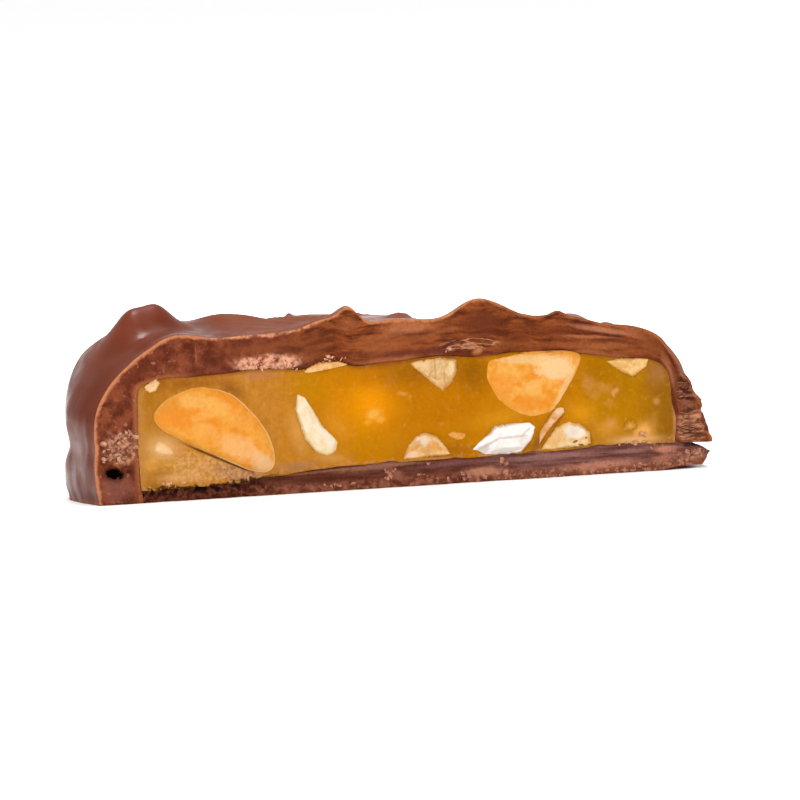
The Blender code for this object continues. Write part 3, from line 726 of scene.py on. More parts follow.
def buildNut(name, nut, seed):
    # The outline in rings: outwards over the front, round its edge, into the slab, and closed behind.
    # The front is the lowest of some slanted planes, with noise, and falls away at its edge by a power
    around, frontRings, sideRings = 168, 26, 7
    proud, depth, rounding = nut["proud"], nut["depth"], nut.get("rounding", 0)
    corners = np.array(nut["corners"])
    middle = corners.mean(axis=0)
    turn = np.linspace(0.0, 2.0 * np.pi, around, endpoint=False)
    reach = outlineReach(corners - middle, turn)
    for smoothing in range(rounding):
        reach = sum(np.roll(reach, shift) for shift in range(-2, 3)) / 5.0
    chipped = 0.02 if rounding else 0.06
    reach = reach + chipped * softNoise(np.cos(turn) * 9.0, np.sin(turn) * 9.0, 0.0, 1.0, seed + 3)
    front = np.linspace(0.0, 1.0, frontRings + 1)[1:] ** 0.9
    sides = np.linspace(0.0, 1.0, sideRings + 1)[1:]
    out = np.concatenate([front, 1.0 - 0.3 * sides ** 2, [0.45, 0.2]])
    deep = np.concatenate([-proud * (1.0 - front ** nut["edge"]), depth * sides, [depth * 1.03] * 2])
    ringX, ringZ = fromMiddle(reach[:, None], turn[:, None])
    grid = [middle[0] + ringX * out, np.broadcast_to(deep, (around, len(deep))), middle[1] + ringZ * out]
    poles = [[middle[0], -proud, middle[1]], [middle[0], depth * 1.04, middle[1]]]
    points = np.vstack([np.stack(grid, axis=-1).reshape(-1, 3), poles])
    x, y, z = points.T
    chance = np.random.default_rng(seed)
    slopes, offsets = chance.uniform(-0.6, 0.6, (5, 2)), chance.uniform(0.0, 0.35, 5)
    planes = (np.stack([x - middle[0], z - middle[1]], axis=-1) @ slopes.T + offsets).min(axis=1)
    relief = -nut["planes"] * (planes + 0.2) + nut["rough"] * roughNoise(x, y, z, 1.3, seed)
    relief = relief + 0.35 * nut["rough"] * softNoise(x, y, z, 0.3, seed + 7)
    onFront = bell(np.maximum(0.0, y), 0.0, 0.25)
    shares = np.concatenate([np.tile(out, around), [0.0, 0.0]])
    points[:, 1] += np.clip(relief, -0.45, 0.55 * proud) * onFront * (1.0 - 0.85 * shares ** 10)
    poleReach = 9.0
    edgeDistance = (1.0 - shares) * np.concatenate([np.repeat(reach, len(out)), [poleReach, poleReach]])
    return meshFromArrays(name, points, ringFaces(around, len(out)), dict(edgeDistance=edgeDistance))


# Loose crumbs on the cut: patches of x, z, half width, half height and number; sizes in mm; flatness;
# and whether they lie level, as thin layers do
crumbKinds = dict(
    wallFlakes=dict(
        patches=((-27.8, 5.5, 1.6, 1.5, 40), (-26.6, 6.8, 0.6, 0.5, 8)),
        sizes=(0.10, 0.56), flat=0.45, slot="milk_chocolate",
        light=(236, 178, 142), dark=(164, 98, 70),
    ),
    poreCrumbs=dict(
        patches=(
            (-12.8, 12.9, 2.8, 0.5, 40), (-14.6, 12.3, 1.2, 0.3, 8), (-11.0, 12.4, 1.6, 0.3, 9),
            (-6.4, 13.1, 1.2, 0.25, 9), (5.2, 13.3, 0.5, 0.2, 4),
        ),
        sizes=(0.08, 0.42), flat=0.3, slot="milk_chocolate",
        light=(250, 184, 148), dark=(220, 148, 112),
    ),
    footCrumbs=dict(
        patches=(
            (28.2, 1.3, 1.6, 0.5, 34), (24.0, 0.7, 3.0, 0.25, 12), (12.0, 0.6, 8.0, 0.2, 16),
            (-1.2, 1.5, 0.6, 0.5, 12), (1.8, 1.1, 0.9, 0.25, 7), (26.0, 2.5, 1.4, 0.2, 5),
            (9.8, 1.8, 0.8, 0.3, 10), (2.6, 2.2, 0.7, 0.2, 4), (6.2, 0.9, 0.9, 0.2, 8),
            (-6.4, 0.6, 2.4, 0.2, 9), (29.2, 1.7, 0.9, 0.4, 14),
        ),
        sizes=(0.10, 0.46), flat=0.4, slot="base_chocolate",
        light=(224, 156, 124), dark=(164, 100, 74),
    ),
    wallLayers=dict(
        patches=((28.8, 4.3, 0.7, 1.2, 40), (28.2, 7.2, 0.3, 1.3, 14)),
        sizes=(0.14, 0.52), flat=0.25, level=True, slot="milk_chocolate",
        light=(208, 144, 108), dark=(152, 92, 66),
    ),
    creamCrumbs=dict(
        patches=(
            (23.2, 2.95, 1.8, 0.10, 12), (24.3, 3.7, 0.3, 0.4, 4), (-23.8, 1.75, 1.4, 0.2, 6),
            (-20.6, 1.9, 1.1, 0.25, 16), (-18.2, 2.0, 1.0, 0.2, 5),
        ),
        sizes=(0.14, 0.42), flat=0.7, slot="pale_peanut",
        light=(246, 194, 142), dark=(226, 150, 100),
    ),
)


def buildCrumbs(name, kind, seed):
    # Little uneven balls, flattened and turned, scattered in bell-shaped patches over the cut
    around, rows = 7, 4
    level = kind.get("level", False)
    chance = np.random.default_rng(seed)
    spots = []
    for x, z, width, height, number in kind["patches"]:
        scatter = np.clip(chance.normal(0.0, 0.55, (number, 2)), -1.1, 1.1)
        spots.append(np.array([x, z]) + scatter * np.array([width, height]))
    x, z = np.vstack(spots).T
    count = len(x)
    smallest, largest = kind["sizes"]
    size = smallest + (largest - smallest) * chance.uniform(0.0, 1.0, count) ** 2
    turn = np.linspace(0.0, 2.0 * np.pi, around, endpoint=False)
    fall = np.linspace(0.0, np.pi, rows + 2)[1:-1]
    turn, fall = (part.ravel() for part in np.meshgrid(turn, fall, indexing="ij"))
    ball = np.stack([np.cos(turn) * np.sin(fall), -np.cos(fall), np.sin(turn) * np.sin(fall)], axis=-1)
    ball = np.vstack([ball, [[0.0, -1.0, 0.0], [0.0, 1.0, 0.0]]])
    lumps = ball * chance.uniform(0.55, 1.25, (count, len(ball), 1)) * size[:, None, None]
    lumps = lumps * ((1.0, 0.8, kind["flat"]) if level else (1.0, kind["flat"], 0.8))
    axis = chance.normal(0.0, 1.0, (count, 3)) * ((0.2, 1.0, 0.4) if level else (1.0, 1.0, 1.0))
    axis = (axis / np.linalg.norm(axis, axis=1, keepdims=True))[:, None, :]
    angle = chance.uniform(-0.25, 0.25, count) if level else chance.uniform(0.0, np.pi, count)
    # Every point is turned round its crumb's axis by Rodrigues' formula
    cosine, sine = np.cos(angle)[:, None, None], np.sin(angle)[:, None, None]
    along = (lumps * axis).sum(axis=-1, keepdims=True)
    turned = lumps * cosine + np.cross(axis, lumps) * sine + axis * along * (1.0 - cosine)
    place = np.stack([x, cutRelief(x, z) + 0.2 * size, np.maximum(z, size * 0.6)], axis=-1)
    points = (turned + place[:, None, :]).reshape(-1, 3)
    steps = np.arange(count)[:, None, None] * len(ball)
    faces = [(part[None] + steps).reshape(-1, part.shape[1]) for part in ringFaces(around, rows)]
    return meshFromArrays(name, points, faces)


class Signal:
    # A socket's output that can stand in sums; each sign adds its Math node
    def __init__(self, paint, socket):
        self.paint = paint
        self.socket = socket

    def math(self, operation, *values):
        return self.paint.add("ShaderNodeMath", dict(operation=operation), dict(enumerate(values)))

    def __add__(self, other):
        return self.math("ADD", self, other)

    def __sub__(self, other):
        return self.math("SUBTRACT", self, other)

    def __rsub__(self, other):
        return self.math("SUBTRACT", other, self)

    def __mul__(self, other):
        return self.math("MULTIPLY", self, other)

    # The reflected forms, for a plain number on the left
    __radd__ = __add__
    __rmul__ = __mul__


class Paint:
    # One material, its nodes and the colour laid so far
    def __init__(self, name, colour, roughness, **constants):
        self.material = bpy.data.materials.new(name)
        self.material.use_nodes = True
        self.tree = self.material.node_tree
        self.shader = self.tree.nodes["Principled BSDF"]
        self.material.diffuse_color = (*tone(*colour), 1.0)
        self.shader.inputs["Roughness"].default_value = roughness
        for label, value in constants.items():
            self.shader.inputs[label.replace("_", " ")].default_value = value
        # The place in millimetres from the middle of the cut, as the numpy functions have it
        coordinates = self.add("ShaderNodeTexCoord", output="Object")
        places = {0: coordinates, 1: tuple(cutPlace * mm)}
        fromCut = self.add("ShaderNodeVectorMath", dict(operation="SUBTRACT"), places)
        self.place = self.scaled(fromCut, 1.0 / mm)
        parts = self.add("ShaderNodeSeparateXYZ", values={0: self.place}, whole=True)
        self.x, self.y, self.z = (Signal(self, socket) for socket in parts.outputs)

    def add(self, kind, settings=None, values=None, output=0, whole=False):
        # A node with its settings and its sockets; a Signal is linked, and any other value is set
        node = self.tree.nodes.new(kind)
        for label, value in (settings or {}).items():
            setattr(node, label, value)
        for label, value in (values or {}).items():
            if isinstance(value, Signal):
                self.tree.links.new(value.socket, node.inputs[label])
            else:
                node.inputs[label].default_value = value
        return node if whole else Signal(self, node.outputs[output])

    def attribute(self, name):
        return self.add("ShaderNodeAttribute", dict(attribute_name=name), output="Fac")

    def scaled(self, vector, factor):
        return self.add("ShaderNodeVectorMath", dict(operation="SCALE"), {0: vector, "Scale": factor})

    def stretched(self, factors):
        # The place with each coordinate times its factor; a smaller one draws a noise out that way
        return self.add("ShaderNodeVectorMath", dict(operation="MULTIPLY"), {0: self.place, 1: factors})

    def vector(self, *parts):
        return self.add("ShaderNodeCombineXYZ", values=dict(enumerate(parts)))

    def noise(self, size, detail=3.0, rough=0.55, place=None):
        # From 0 to 1, in blobs of about the given size in millimetres
        values = {"Vector": place or self.place, "Scale": 1.0 / size, "Detail": detail, "Roughness": rough}
        return self.add("ShaderNodeTexNoise", values=values)

    def step(self, value, start, end):
        # 0 at start and 1 at end, smoothly between, where start may be the larger
        values = {"Value": value, "From Min": start, "From Max": end}
        if start > end:
            values = {"Value": value, "From Min": end, "From Max": start, "To Min": 1.0, "To Max": 0.0}
        return self.add("ShaderNodeMapRange", dict(interpolation_type="SMOOTHSTEP"), values)

    def band(self, value, start, full, fading, end):
        # 1 from full to fading, and 0 before start and after end: the product of two steps
        return self.step(value, start, full) * self.step(value, end, fading)

    def spot(self, x, z, width, height, tilt=0.0):
        # A soft oval patch on the cut: exp(-(along / width)^2 - (across / height)^2)
        along, across = turnedAxes(self.x - x, self.z - z, tilt)
        along, across = along * (1.0 / width), across * (1.0 / height)
        away = (along * along + across * across) * -1.0
        return away.math("EXPONENT", away)

    def mix(self, factor, first, second):
        # first + factor (second - first), where a colour is a Signal or red, green and blue as for tone
        opaque = [(*tone(*value), 1.0) if isinstance(value, tuple) else value for value in (first, second)]
        values = {"Factor": factor, 6: opaque[0], 7: opaque[1]}
        return self.add("ShaderNodeMix", dict(data_type="RGBA"), values, output=2)

    def blend(self, value, start, end, first, second):
        # The first colour where the value is at start, and the second where it is at end
        return self.mix(self.step(value, start, end), first, second)

    def lay(self, factor, colour):
        # Lays a colour over the one so far, as densely as the factor says
        self.colour = self.mix(factor, self.colour, colour)

    def layPatches(self, patches, edge=None, ragged=0.0):
        # Lays the patches in turn: plain soft ones, or with an edge broken by noise
        broken = ragged * (self.noise(0.7, 4.0, 0.65) - 0.5) if ragged else 0.0
        for x, z, width, height, tilt, strength, colour in patches:
            shape = self.spot(x, z, width, height, tilt)
            shape = self.step(shape + broken, *edge) if edge else shape
            self.lay(strength * shape, colour)

    def feed(self, label, signal):
        self.tree.links.new(signal.socket, self.shader.inputs[label])

    def finish(self, height, distance, grain=None):
        # Feeds the bump and the colour, which fine specks of a size darken and lighten by a strength
        if grain:
            size, strength = grain
            specks = self.step(self.noise(size, 3.0, 0.7), 0.25, 0.75)
            self.colour = self.scaled(self.colour, specks * (2.0 * strength) + (1.0 - strength))
        self.feed("Base Color", self.colour)
        self.feed("Normal", self.add("ShaderNodeBump", values={"Height": height, "Distance": distance * mm}))
        return self.material


# The skin's colours, from 0 to 255; in a pair, noise mottles the one with the other
skinColours = dict(
    top=((131, 68, 41), (141, 74, 45)),
    clots=(150, 80, 48),
    shadedLeftBump=((104, 40, 16), (120, 54, 34)),
    dullStretch=(112, 54, 30),
    wall=((103, 45, 24), (112, 51, 30)),
    wallHighlight=(150, 118, 114),
    lip=(172, 100, 62),
)


def skinPaint():
    # Mottled browns, each laid over the last where a product of steps says
    paint = Paint("chocolateSkin", (132, 66, 42), 0.28, Specular_IOR_Level=0.06)
    cloud, clots = paint.noise(7.0, 2.0, 0.5), paint.noise(2.4, 3.0, 0.55)
    paint.colour = paint.blend(cloud, 0.3, 0.7, *skinColours["top"])
    paint.lay(0.3 * paint.step(clots, 0.40, 0.65), skinColours["clots"])
    # Round the left bump the skin is painted darker red-brown: painted shade
    nearBump = paint.step(paint.x, -13.0, -19.0) * paint.step(paint.y, 15.0, 9.0)
    paint.lay(0.85 * nearBump, paint.blend(cloud, 0.35, 0.65, *skinColours["shadedLeftBump"]))
    # A stretch left of the middle is darker and duller
    dullStretch = paint.band(paint.x, -19.0, -16.0, -9.0, -5.0)
    paint.lay(0.2 * dullStretch, skinColours["dullStretch"])
    # The wall is painted darker than the top: painted shade, as less light falls on the wall than on the top
    wall = paint.step(paint.z + 2.0 * cloud, 14.0, 9.0)
    wallBrown = paint.blend(clots, 0.3, 0.7, *skinColours["wall"])
    paint.lay(0.85 * wall * (1.0 - 0.6 * nearBump), wallBrown)
    # A painted highlight low on the left wall, next to the cut: grey upright streaks where the satin wall
    # reflects the light
    upright = paint.noise(1.3, 3.0, 0.5, paint.stretched((1.0, 1.0, 0.2)))
    nearCorner = paint.step(paint.x, -24.0, -28.0) * paint.step(paint.y, 9.0, 4.0)
    wallHighlight = nearCorner * paint.step(paint.z + 4.0 * clots, 11.5, 7.5)
    wallHighlight = wallHighlight * (0.75 + 0.25 * paint.step(paint.z, 2.0, 4.5))
    paint.lay(0.78 * wallHighlight * paint.step(upright, 0.34, 0.60), skinColours["wallHighlight"])
    # The thin lip along the floor is painted paler in places: a painted highlight on its edge
    lip = paint.step(paint.z + 0.5 * paint.noise(1.5), 0.75, 0.35)
    paint.lay(0.6 * lip, skinColours["lip"])
    paint.feed("Roughness", 0.18 + 0.26 * paint.step(clots, 0.3, 0.7) + 0.3 * dullStretch)
    return paint.finish(paint.noise(0.8), 0.01)


# Large patches of colour on the cut of the coat, in the same order of values as the marks of the peanuts
coatPatches = (
    (-28.4, 1.6, 1.8, 1.5, 0, 0.7, (150, 90, 76)),
    (-25.3, 13.3, 3.6, 0.9, 35, 0.6, (112, 50, 34)),
    (-18.2, 13.6, 1.4, 1.2, 0, 0.5, (98, 46, 28)),
    (-12.6, 14.5, 4.4, 0.6, 2, 0.7, (148, 80, 46)),
    (-8.0, 14.4, 1.8, 1.2, 30, 0.5, (140, 76, 46)),
    (-4.8, 16.4, 1.4, 0.7, 0, 0.35, (186, 110, 68)),
    (-1.6, 15.0, 2.6, 0.25, 2, 0.5, (180, 106, 66)),
    (-10.6, 14.3, 1.6, 0.35, -8, 0.6, (92, 42, 24)),
    (-7.4, 14.9, 2.2, 0.25, 12, 0.5, (96, 44, 26)),
    (-5.4, 13.5, 1.7, 0.25, 0, 0.6, (92, 40, 28)),
    (1.2, 15.7, 2.8, 0.7, 0, 0.7, (200, 122, 80)),
    (2.4, 14.6, 2.0, 0.5, 0, 0.5, (172, 96, 58)),
    (1.8, 15.0, 2.0, 0.16, 0, 0.5, (100, 46, 28)),
    (7.9, 12.9, 0.6, 0.35, 20, 0.8, (214, 138, 84)),
    (3.8, 13.0, 0.9, 0.25, 0, 0.7, (196, 122, 90)),
    (5.0, 15.2, 1.6, 0.25, 8, 0.5, (182, 108, 68)),
    (-1.4, 14.0, 3.0, 1.0, 0, 0.7, (172, 96, 54)),
    (0.6, 13.1, 4.4, 0.5, 1, 0.8, (114, 54, 40)),
    (4.6, 13.4, 1.9, 0.5, 5, 0.7, (106, 48, 40)),
    (8.5, 15.8, 2.6, 1.3, 0, 0.9, (114, 56, 32)),
    (10.4, 13.5, 3.0, 0.6, 0, 0.5, (150, 84, 44)),
    (12.6, 15.3, 2.4, 0.22, -8, 0.5, (104, 50, 30)),
    (15.9, 14.4, 2.4, 0.8, -4, 0.7, (120, 56, 32)),
    (20.2, 12.7, 4.0, 0.4, -3, 0.7, (176, 102, 58)),
    # Light stripes at the upper right: painted highlights
    (20.6, 14.3, 3.6, 0.30, -12, 0.7, (202, 132, 98)),
    (19.2, 13.7, 3.0, 0.18, -6, 0.6, (196, 126, 86)),
    (21.6, 13.2, 2.6, 0.24, -8, 0.6, (110, 52, 32)),
    (12.0, 14.1, 1.8, 0.7, 0, 0.6, (106, 48, 24)),
    (16.2, 13.1, 3.0, 0.4, -2, 0.7, (158, 84, 46)),
    (24.0, 13.6, 1.6, 0.4, -30, 0.5, (180, 108, 74)),
    (25.2, 12.6, 2.0, 1.3, -45, 0.6, (144, 78, 42)),
    (28.3, 8.6, 0.8, 2.6, 12, 0.6, (112, 62, 46)),
    (27.0, 9.6, 0.5, 1.9, 14, 0.7, (184, 116, 80)),
    (27.4, 7.2, 0.4, 1.6, 6, 0.6, (92, 44, 30)),
)


# The dark and light colours of the crumbled patches, in their order
crumbColours = (
    ((134, 78, 56), (222, 156, 122)),
    ((188, 112, 82), (255, 190, 156)),
    ((116, 66, 46), (212, 146, 110)),
    ((70, 34, 24), (148, 92, 68)),
    ((110, 60, 44), (176, 108, 78)),
    ((60, 24, 14), (120, 62, 44)),
)
# The other colours of the coat's cut
cutColours = dict(
    smooth=((97, 43, 27), (148, 77, 50)),
    streaked=((88, 38, 19), (160, 83, 41)),
    fineStreaks=(104, 50, 30),
    nearCaramel=(104, 46, 30),
    melted=(182, 106, 66),
    leftSpecks=(200, 138, 110),
    void=(14, 6, 4),
    roundVoidShade=(64, 28, 18),
    poreShade=(120, 62, 44),
    scratch=(170, 112, 90),
    tornGapShade=(78, 36, 24),
    tornEdges=(214, 156, 122),
    rim=((216, 138, 94), (240, 164, 122)),
)


def cutPaint():
    # Smooth at the left and drawn out in streaks elsewhere, with patches, crumbs, pores and a void painted
    # dark as painted shade, light stripes painted as highlights, and a light rim that is partly a painted
    # highlight
    paint = Paint("chocolateCut", (125, 60, 36), 0.55, Specular_IOR_Level=0.015)
    rim, inner = paint.attribute("rimDistance"), paint.attribute("innerDistance")
    blotches, specks = paint.noise(1.3, 4.0, 0.6), paint.noise(0.5, 1.0, 0.5)
    alongTop = paint.vector(paint.x * 0.22, paint.y, inner + 0.9 * paint.noise(2.6, 2.0, 0.5))
    drag, fineDrag = paint.noise(0.62, 4.0, 0.6, alongTop), paint.noise(0.22, 2.0, 0.5, alongTop)
    paint.colour = paint.blend(drag, 0.34, 0.66, *cutColours["streaked"])
    paint.lay(0.25 * paint.step(fineDrag, 0.45, 0.7), cutColours["fineStreaks"])
    smooth = paint.blend(blotches, 0.34, 0.66, *cutColours["smooth"])
    paint.colour = paint.blend(paint.x + 3.0 * blotches, -11.0, -5.0, smooth, paint.colour)
    paint.layPatches(coatPatches, (0.1, 0.9), 0.5)
    # Darker next to the caramel, and lighter where it melted: at the left wall and along two stretches
    atLeft = paint.step(paint.x, -19.0, -23.0)
    nearCaramel = paint.step(inner + 0.5 * blotches, 0.95, 0.40)
    melted = paint.band(paint.x, -5.5, -3.0, 0.5, 3.0) + 0.9 * atLeft
    melted = melted + 0.8 * paint.band(paint.x, 17.0, 19.0, 22.0, 23.5)
    paint.lay(0.5 * nearCaramel * (1.0 - melted), cutColours["nearCaramel"])
    paint.lay(0.8 * nearCaramel * melted, cutColours["melted"])
    paint.lay(0.5 * atLeft * paint.step(specks, 0.62, 0.76), cutColours["leftSpecks"])
    # Crumbs, which lie in level layers in the right wall
    grit = paint.noise(0.5, 3.0, 0.6)
    layered = paint.noise(0.34, 3.0, 0.6, paint.stretched((0.22, 1.0, 1.0)))
    grit = grit + paint.step(paint.x, 26.5, 28.0) * (layered - grit)
    for patch, crumbTones in zip(crumbledPatches, crumbColours):
        shape = paint.step(paint.spot(*patch[:4]) + 0.5 * (blotches - 0.5), 0.25, 0.65)
        paint.lay(0.9 * shape, paint.blend(grit, 0.40, 0.60, *crumbTones))
    # The void and the round patch of hollows beside it are painted dark: painted shade inside them
    void = paint.spot(*cornerVoid["middle"], *cornerVoid["size"], -8.0) + 1.1 * (grit - 0.5)
    paint.lay(paint.step(void, 0.40, 0.60), cutColours["void"])
    roundVoidShade = paint.step(paint.spot(-28.0, 3.6, 2.0, 1.1), 0.3, 0.7)
    paint.lay(0.8 * (roundVoidShade * paint.step(paint.noise(0.7, 2.0, 0.6), 0.42, 0.36)), cutColours["roundVoidShade"])
    # The pores in a band at the upper left are painted dark: painted shade in them
    porous = paint.step(paint.spot(-12.8, 12.9, 3.8, 0.9), 0.3, 0.7)
    paint.lay(0.8 * (porous * paint.step(paint.noise(0.5, 2.0, 0.6), 0.43, 0.37)), cutColours["poreShade"])
    # A thin upright scratch at the left, and torn layers where a peanut pulled at the right of the middle
    paint.layPatches(((-20.0, 14.1, 0.08, 1.0, 0, 0.5, cutColours["scratch"]),), (0.25, 0.65), 1.0)
    torn = paint.step(paint.spot(7.2, 13.7, 2.8, 0.55, 2.0), 0.15, 0.5)
    bowed = paint.z + 0.05 * (paint.x - 7.0) * (paint.x - 7.0)
    sheets = paint.noise(0.55, 3.0, 0.6, paint.vector(paint.x * 0.20, paint.y, bowed))
    # The gaps between the torn sheets are painted dark: painted shade in them
    paint.lay(0.7 * torn * paint.step(sheets, 0.46, 0.40), cutColours["tornGapShade"])
    paint.lay(0.6 * torn * paint.band(sheets, 0.46, 0.50, 0.53, 0.57), cutColours["tornEdges"])
    # The rim, where the skin was cut: paler chipped chocolate with a painted highlight where its edge catches
    # the light. It is broad and light at the left, dotted further on, faint at the right
    waver = paint.noise(1.1, 3.0, 0.6)
    edge = paint.step(rim + 0.8 * waver - 0.10 * paint.step(paint.x, -17.5, -20.0), 0.82, 0.46)
    dotted = paint.step(paint.noise(0.7, 1.0, 0.5), 0.40, 0.55)
    dots = paint.band(paint.x, -19.5, -17.0, -9.0, -7.0)
    strength = 0.95 - 0.60 * paint.step(paint.x, 6.0, 14.0) - 0.75 * dots * (1.0 - dotted)
    paint.lay(edge * strength, paint.mix(dots, *cutColours["rim"]))
    return paint.finish(drag + 0.4 * fineDrag + 0.6 * grit, 0.11, (0.32, 0.14))


# The base's colours, with pairs for the mottled ones
baseColours = dict(
    low=((112, 56, 38), (162, 98, 74)),
    paleGrit=(206, 142, 114),
    high=((84, 40, 26), (124, 72, 55)),
    rightHigh=((112, 68, 62), (152, 104, 98)),
    rightLow=((146, 84, 62), (212, 148, 118)),
    leftEnd=((64, 24, 12), (112, 54, 36)),
    pitShade=(16, 6, 3),
)

# Patches on the cut of the base, as those above: painted highlights where the knife left the cut smooth, and
# crumbs and stains
basePatches = (
    (-2.0, 2.2, 5.0, 0.28, 3, 0.8, (162, 112, 92)),
    (6.0, 2.0, 4.0, 0.30, 0, 0.5, (134, 88, 90)),
    (16.0, 2.15, 3.0, 0.30, 0, 0.8, (168, 120, 116)),
    (22.6, 2.15, 2.0, 0.26, 0, 0.7, (166, 118, 112)),
    (26.4, 2.1, 1.3, 0.4, 0, 0.8, (214, 140, 112)),
    (8.0, 1.0, 2.2, 0.5, 0, 0.8, (214, 148, 116)),
    (19.6, 0.9, 4.2, 0.5, 2, 0.8, (212, 142, 116)),
    (13.0, 2.0, 4.0, 0.30, 0, 0.8, (154, 108, 104)),
    (12.0, 2.75, 3.0, 0.14, -3, 0.7, (186, 132, 108)),
    (-7.6, 2.05, 4.4, 0.12, 3, 0.5, (176, 116, 88)),
    (-0.8, 1.3, 1.2, 0.5, -30, 0.6, (176, 112, 88)),
    (3.4, 1.9, 2.4, 0.22, 4, 0.5, (140, 92, 92)),
    (-8.0, 1.3, 5.0, 0.45, 0, 0.6, (92, 42, 26)),
    (26.2, 1.2, 1.6, 0.45, 8, 0.7, (196, 126, 98)),
    (28.9, 1.2, 1.5, 0.35, 6, 0.7, (206, 138, 108)),
    (28.2, 1.9, 1.0, 0.25, -8, 0.6, (112, 60, 40)),
)


def basePaint():
    # Level streaks above and crumbs below, greyer and paler to the right, where the grey streaks are partly a
    # painted highlight, and dark at the left end
    paint = Paint("chocolateBaseCut", (125, 74, 60), 0.6, Specular_IOR_Level=0.03)
    streaks = paint.noise(0.4, 4.0, 0.6, paint.stretched((0.12, 1.0, 1.0)))
    blotches, grit = paint.noise(0.8, 3.0, 0.6), paint.noise(0.4, 3.0, 0.6)
    low = paint.blend(blotches, 0.36, 0.64, *baseColours["low"])
    pale = (0.2 + 0.5 * paint.step(paint.x, -4.0, 6.0)) * paint.step(grit, 0.58, 0.66)
    low = paint.mix(pale, low, baseColours["paleGrit"])
    high = paint.blend(streaks, 0.34, 0.66, *baseColours["high"])
    height = paint.z + 0.5 * blotches
    paint.colour = paint.blend(height, 0.9, 1.5, low, high)
    rightHigh = paint.blend(streaks, 0.36, 0.64, *baseColours["rightHigh"])
    rightLow = paint.blend(grit, 0.50, 0.62, *baseColours["rightLow"])
    paint.lay(0.6 * paint.step(paint.x, 6.0, 12.0), paint.blend(height, 1.5, 0.9, rightHigh, rightLow))
    paint.layPatches(basePatches, (0.1, 0.9), 0.7)
    # Darker towards the left end, with pits painted black above the floor: painted shade in them
    left = paint.step(paint.x + 4.0 * blotches, -9.0, -15.0)
    paint.lay(0.9 * left, paint.blend(grit, 0.42, 0.58, *baseColours["leftEnd"]))
    pitShade = left * paint.step(paint.noise(0.9, 2.0, 0.6), 0.50, 0.58) * paint.step(paint.z, 0.5, 0.9)
    paint.lay(0.9 * pitShade, baseColours["pitShade"])
    return paint.finish(streaks + blotches + 0.5 * grit, 0.09, (0.32, 0.16))


# Patches of colour in the caramel, where pieces below its surface show, and painted glow where light shines
# through it
caramelPatches = (
    (-21.4, 11.5, 4.0, 0.6, 0, 0.8, (160, 94, 26)),
    (-19.4, 12.15, 4.2, 0.16, 1, 0.7, (208, 128, 66)),
    (-25.0, 5.9, 1.5, 1.7, 0, 0.6, (214, 150, 62)),
    (-16.6, 10.6, 1.4, 0.7, -30, 0.8, (152, 90, 32)),
    (-14.0, 11.9, 1.8, 0.35, 0, 0.7, (196, 128, 92)),
    (-22.4, 2.3, 1.8, 0.5, 0, 0.8, (246, 184, 120)),
    (-10.4, 2.75, 2.6, 0.36, 4, 0.9, (184, 130, 90)),
    (25.9, 9.8, 0.9, 1.1, 0, 0.7, (180, 122, 68)),
    (18.3, 6.1, 1.5, 1.0, 0, 0.9, (240, 160, 24)),
    (-6.2, 6.4, 0.9, 1.8, 28, 0.7, (238, 168, 64)),
    (-23.7, 5.2, 1.5, 1.2, 0, 0.9, (246, 194, 128)),
    (-8.9, 10.6, 2.0, 1.6, 0, 0.9, (198, 134, 4)),
    # A bright orange glow in the middle: painted light
    (-5.2, 8.0, 3.0, 3.6, 0, 0.8, (222, 140, 0)),
    (-2.7, 8.4, 2.2, 2.6, 0, 1.0, (252, 160, 4)),
    (-3.4, 10.9, 2.0, 0.7, 0, 0.5, (206, 122, 2)),
    (-1.4, 12.2, 3.0, 0.35, 3, 0.8, (158, 84, 34)),
    (-4.0, 4.6, 3.0, 1.2, 0, 0.6, (208, 138, 0)),
    (2.2, 11.2, 4.6, 1.4, 0, 0.9, (164, 98, 10)),
    (4.0, 8.0, 4.0, 2.6, 0, 0.8, (200, 122, 0)),
    (7.4, 11.0, 1.5, 1.8, 0, 0.9, (158, 96, 0)),
    (-0.5, 4.0, 1.8, 1.0, 0, 0.6, (206, 132, 18)),
    (5.6, 3.4, 1.3, 0.7, 0, 0.8, (180, 110, 14)),
    (10.0, 6.2, 2.6, 1.0, 10, 0.9, (226, 150, 20)),
    (19.9, 10.4, 1.8, 1.8, 0, 0.9, (178, 114, 0)),
    (21.0, 6.0, 2.4, 1.4, 0, 0.8, (194, 130, 0)),
    (20.5, 4.5, 1.4, 0.8, 0, 0.8, (226, 156, 52)),
    (13.6, 3.5, 0.6, 1.1, -30, 0.9, (146, 96, 36)),
    (15.35, 5.0, 1.9, 0.16, 55, 0.8, (166, 98, 34)),
    (24.3, 3.9, 0.9, 1.0, 0, 0.8, (238, 168, 56)),
    (-7.2, 3.4, 1.7, 0.6, -12, 0.6, (230, 172, 92)),
    (-10.3, 6.0, 0.8, 2.2, 12, 0.7, (230, 168, 86)),
    (23.4, 3.2, 2.2, 0.42, 0, 1.0, (248, 192, 128)),
    (22.4, 8.6, 1.0, 1.2, 0, 0.5, (176, 118, 0)),
)


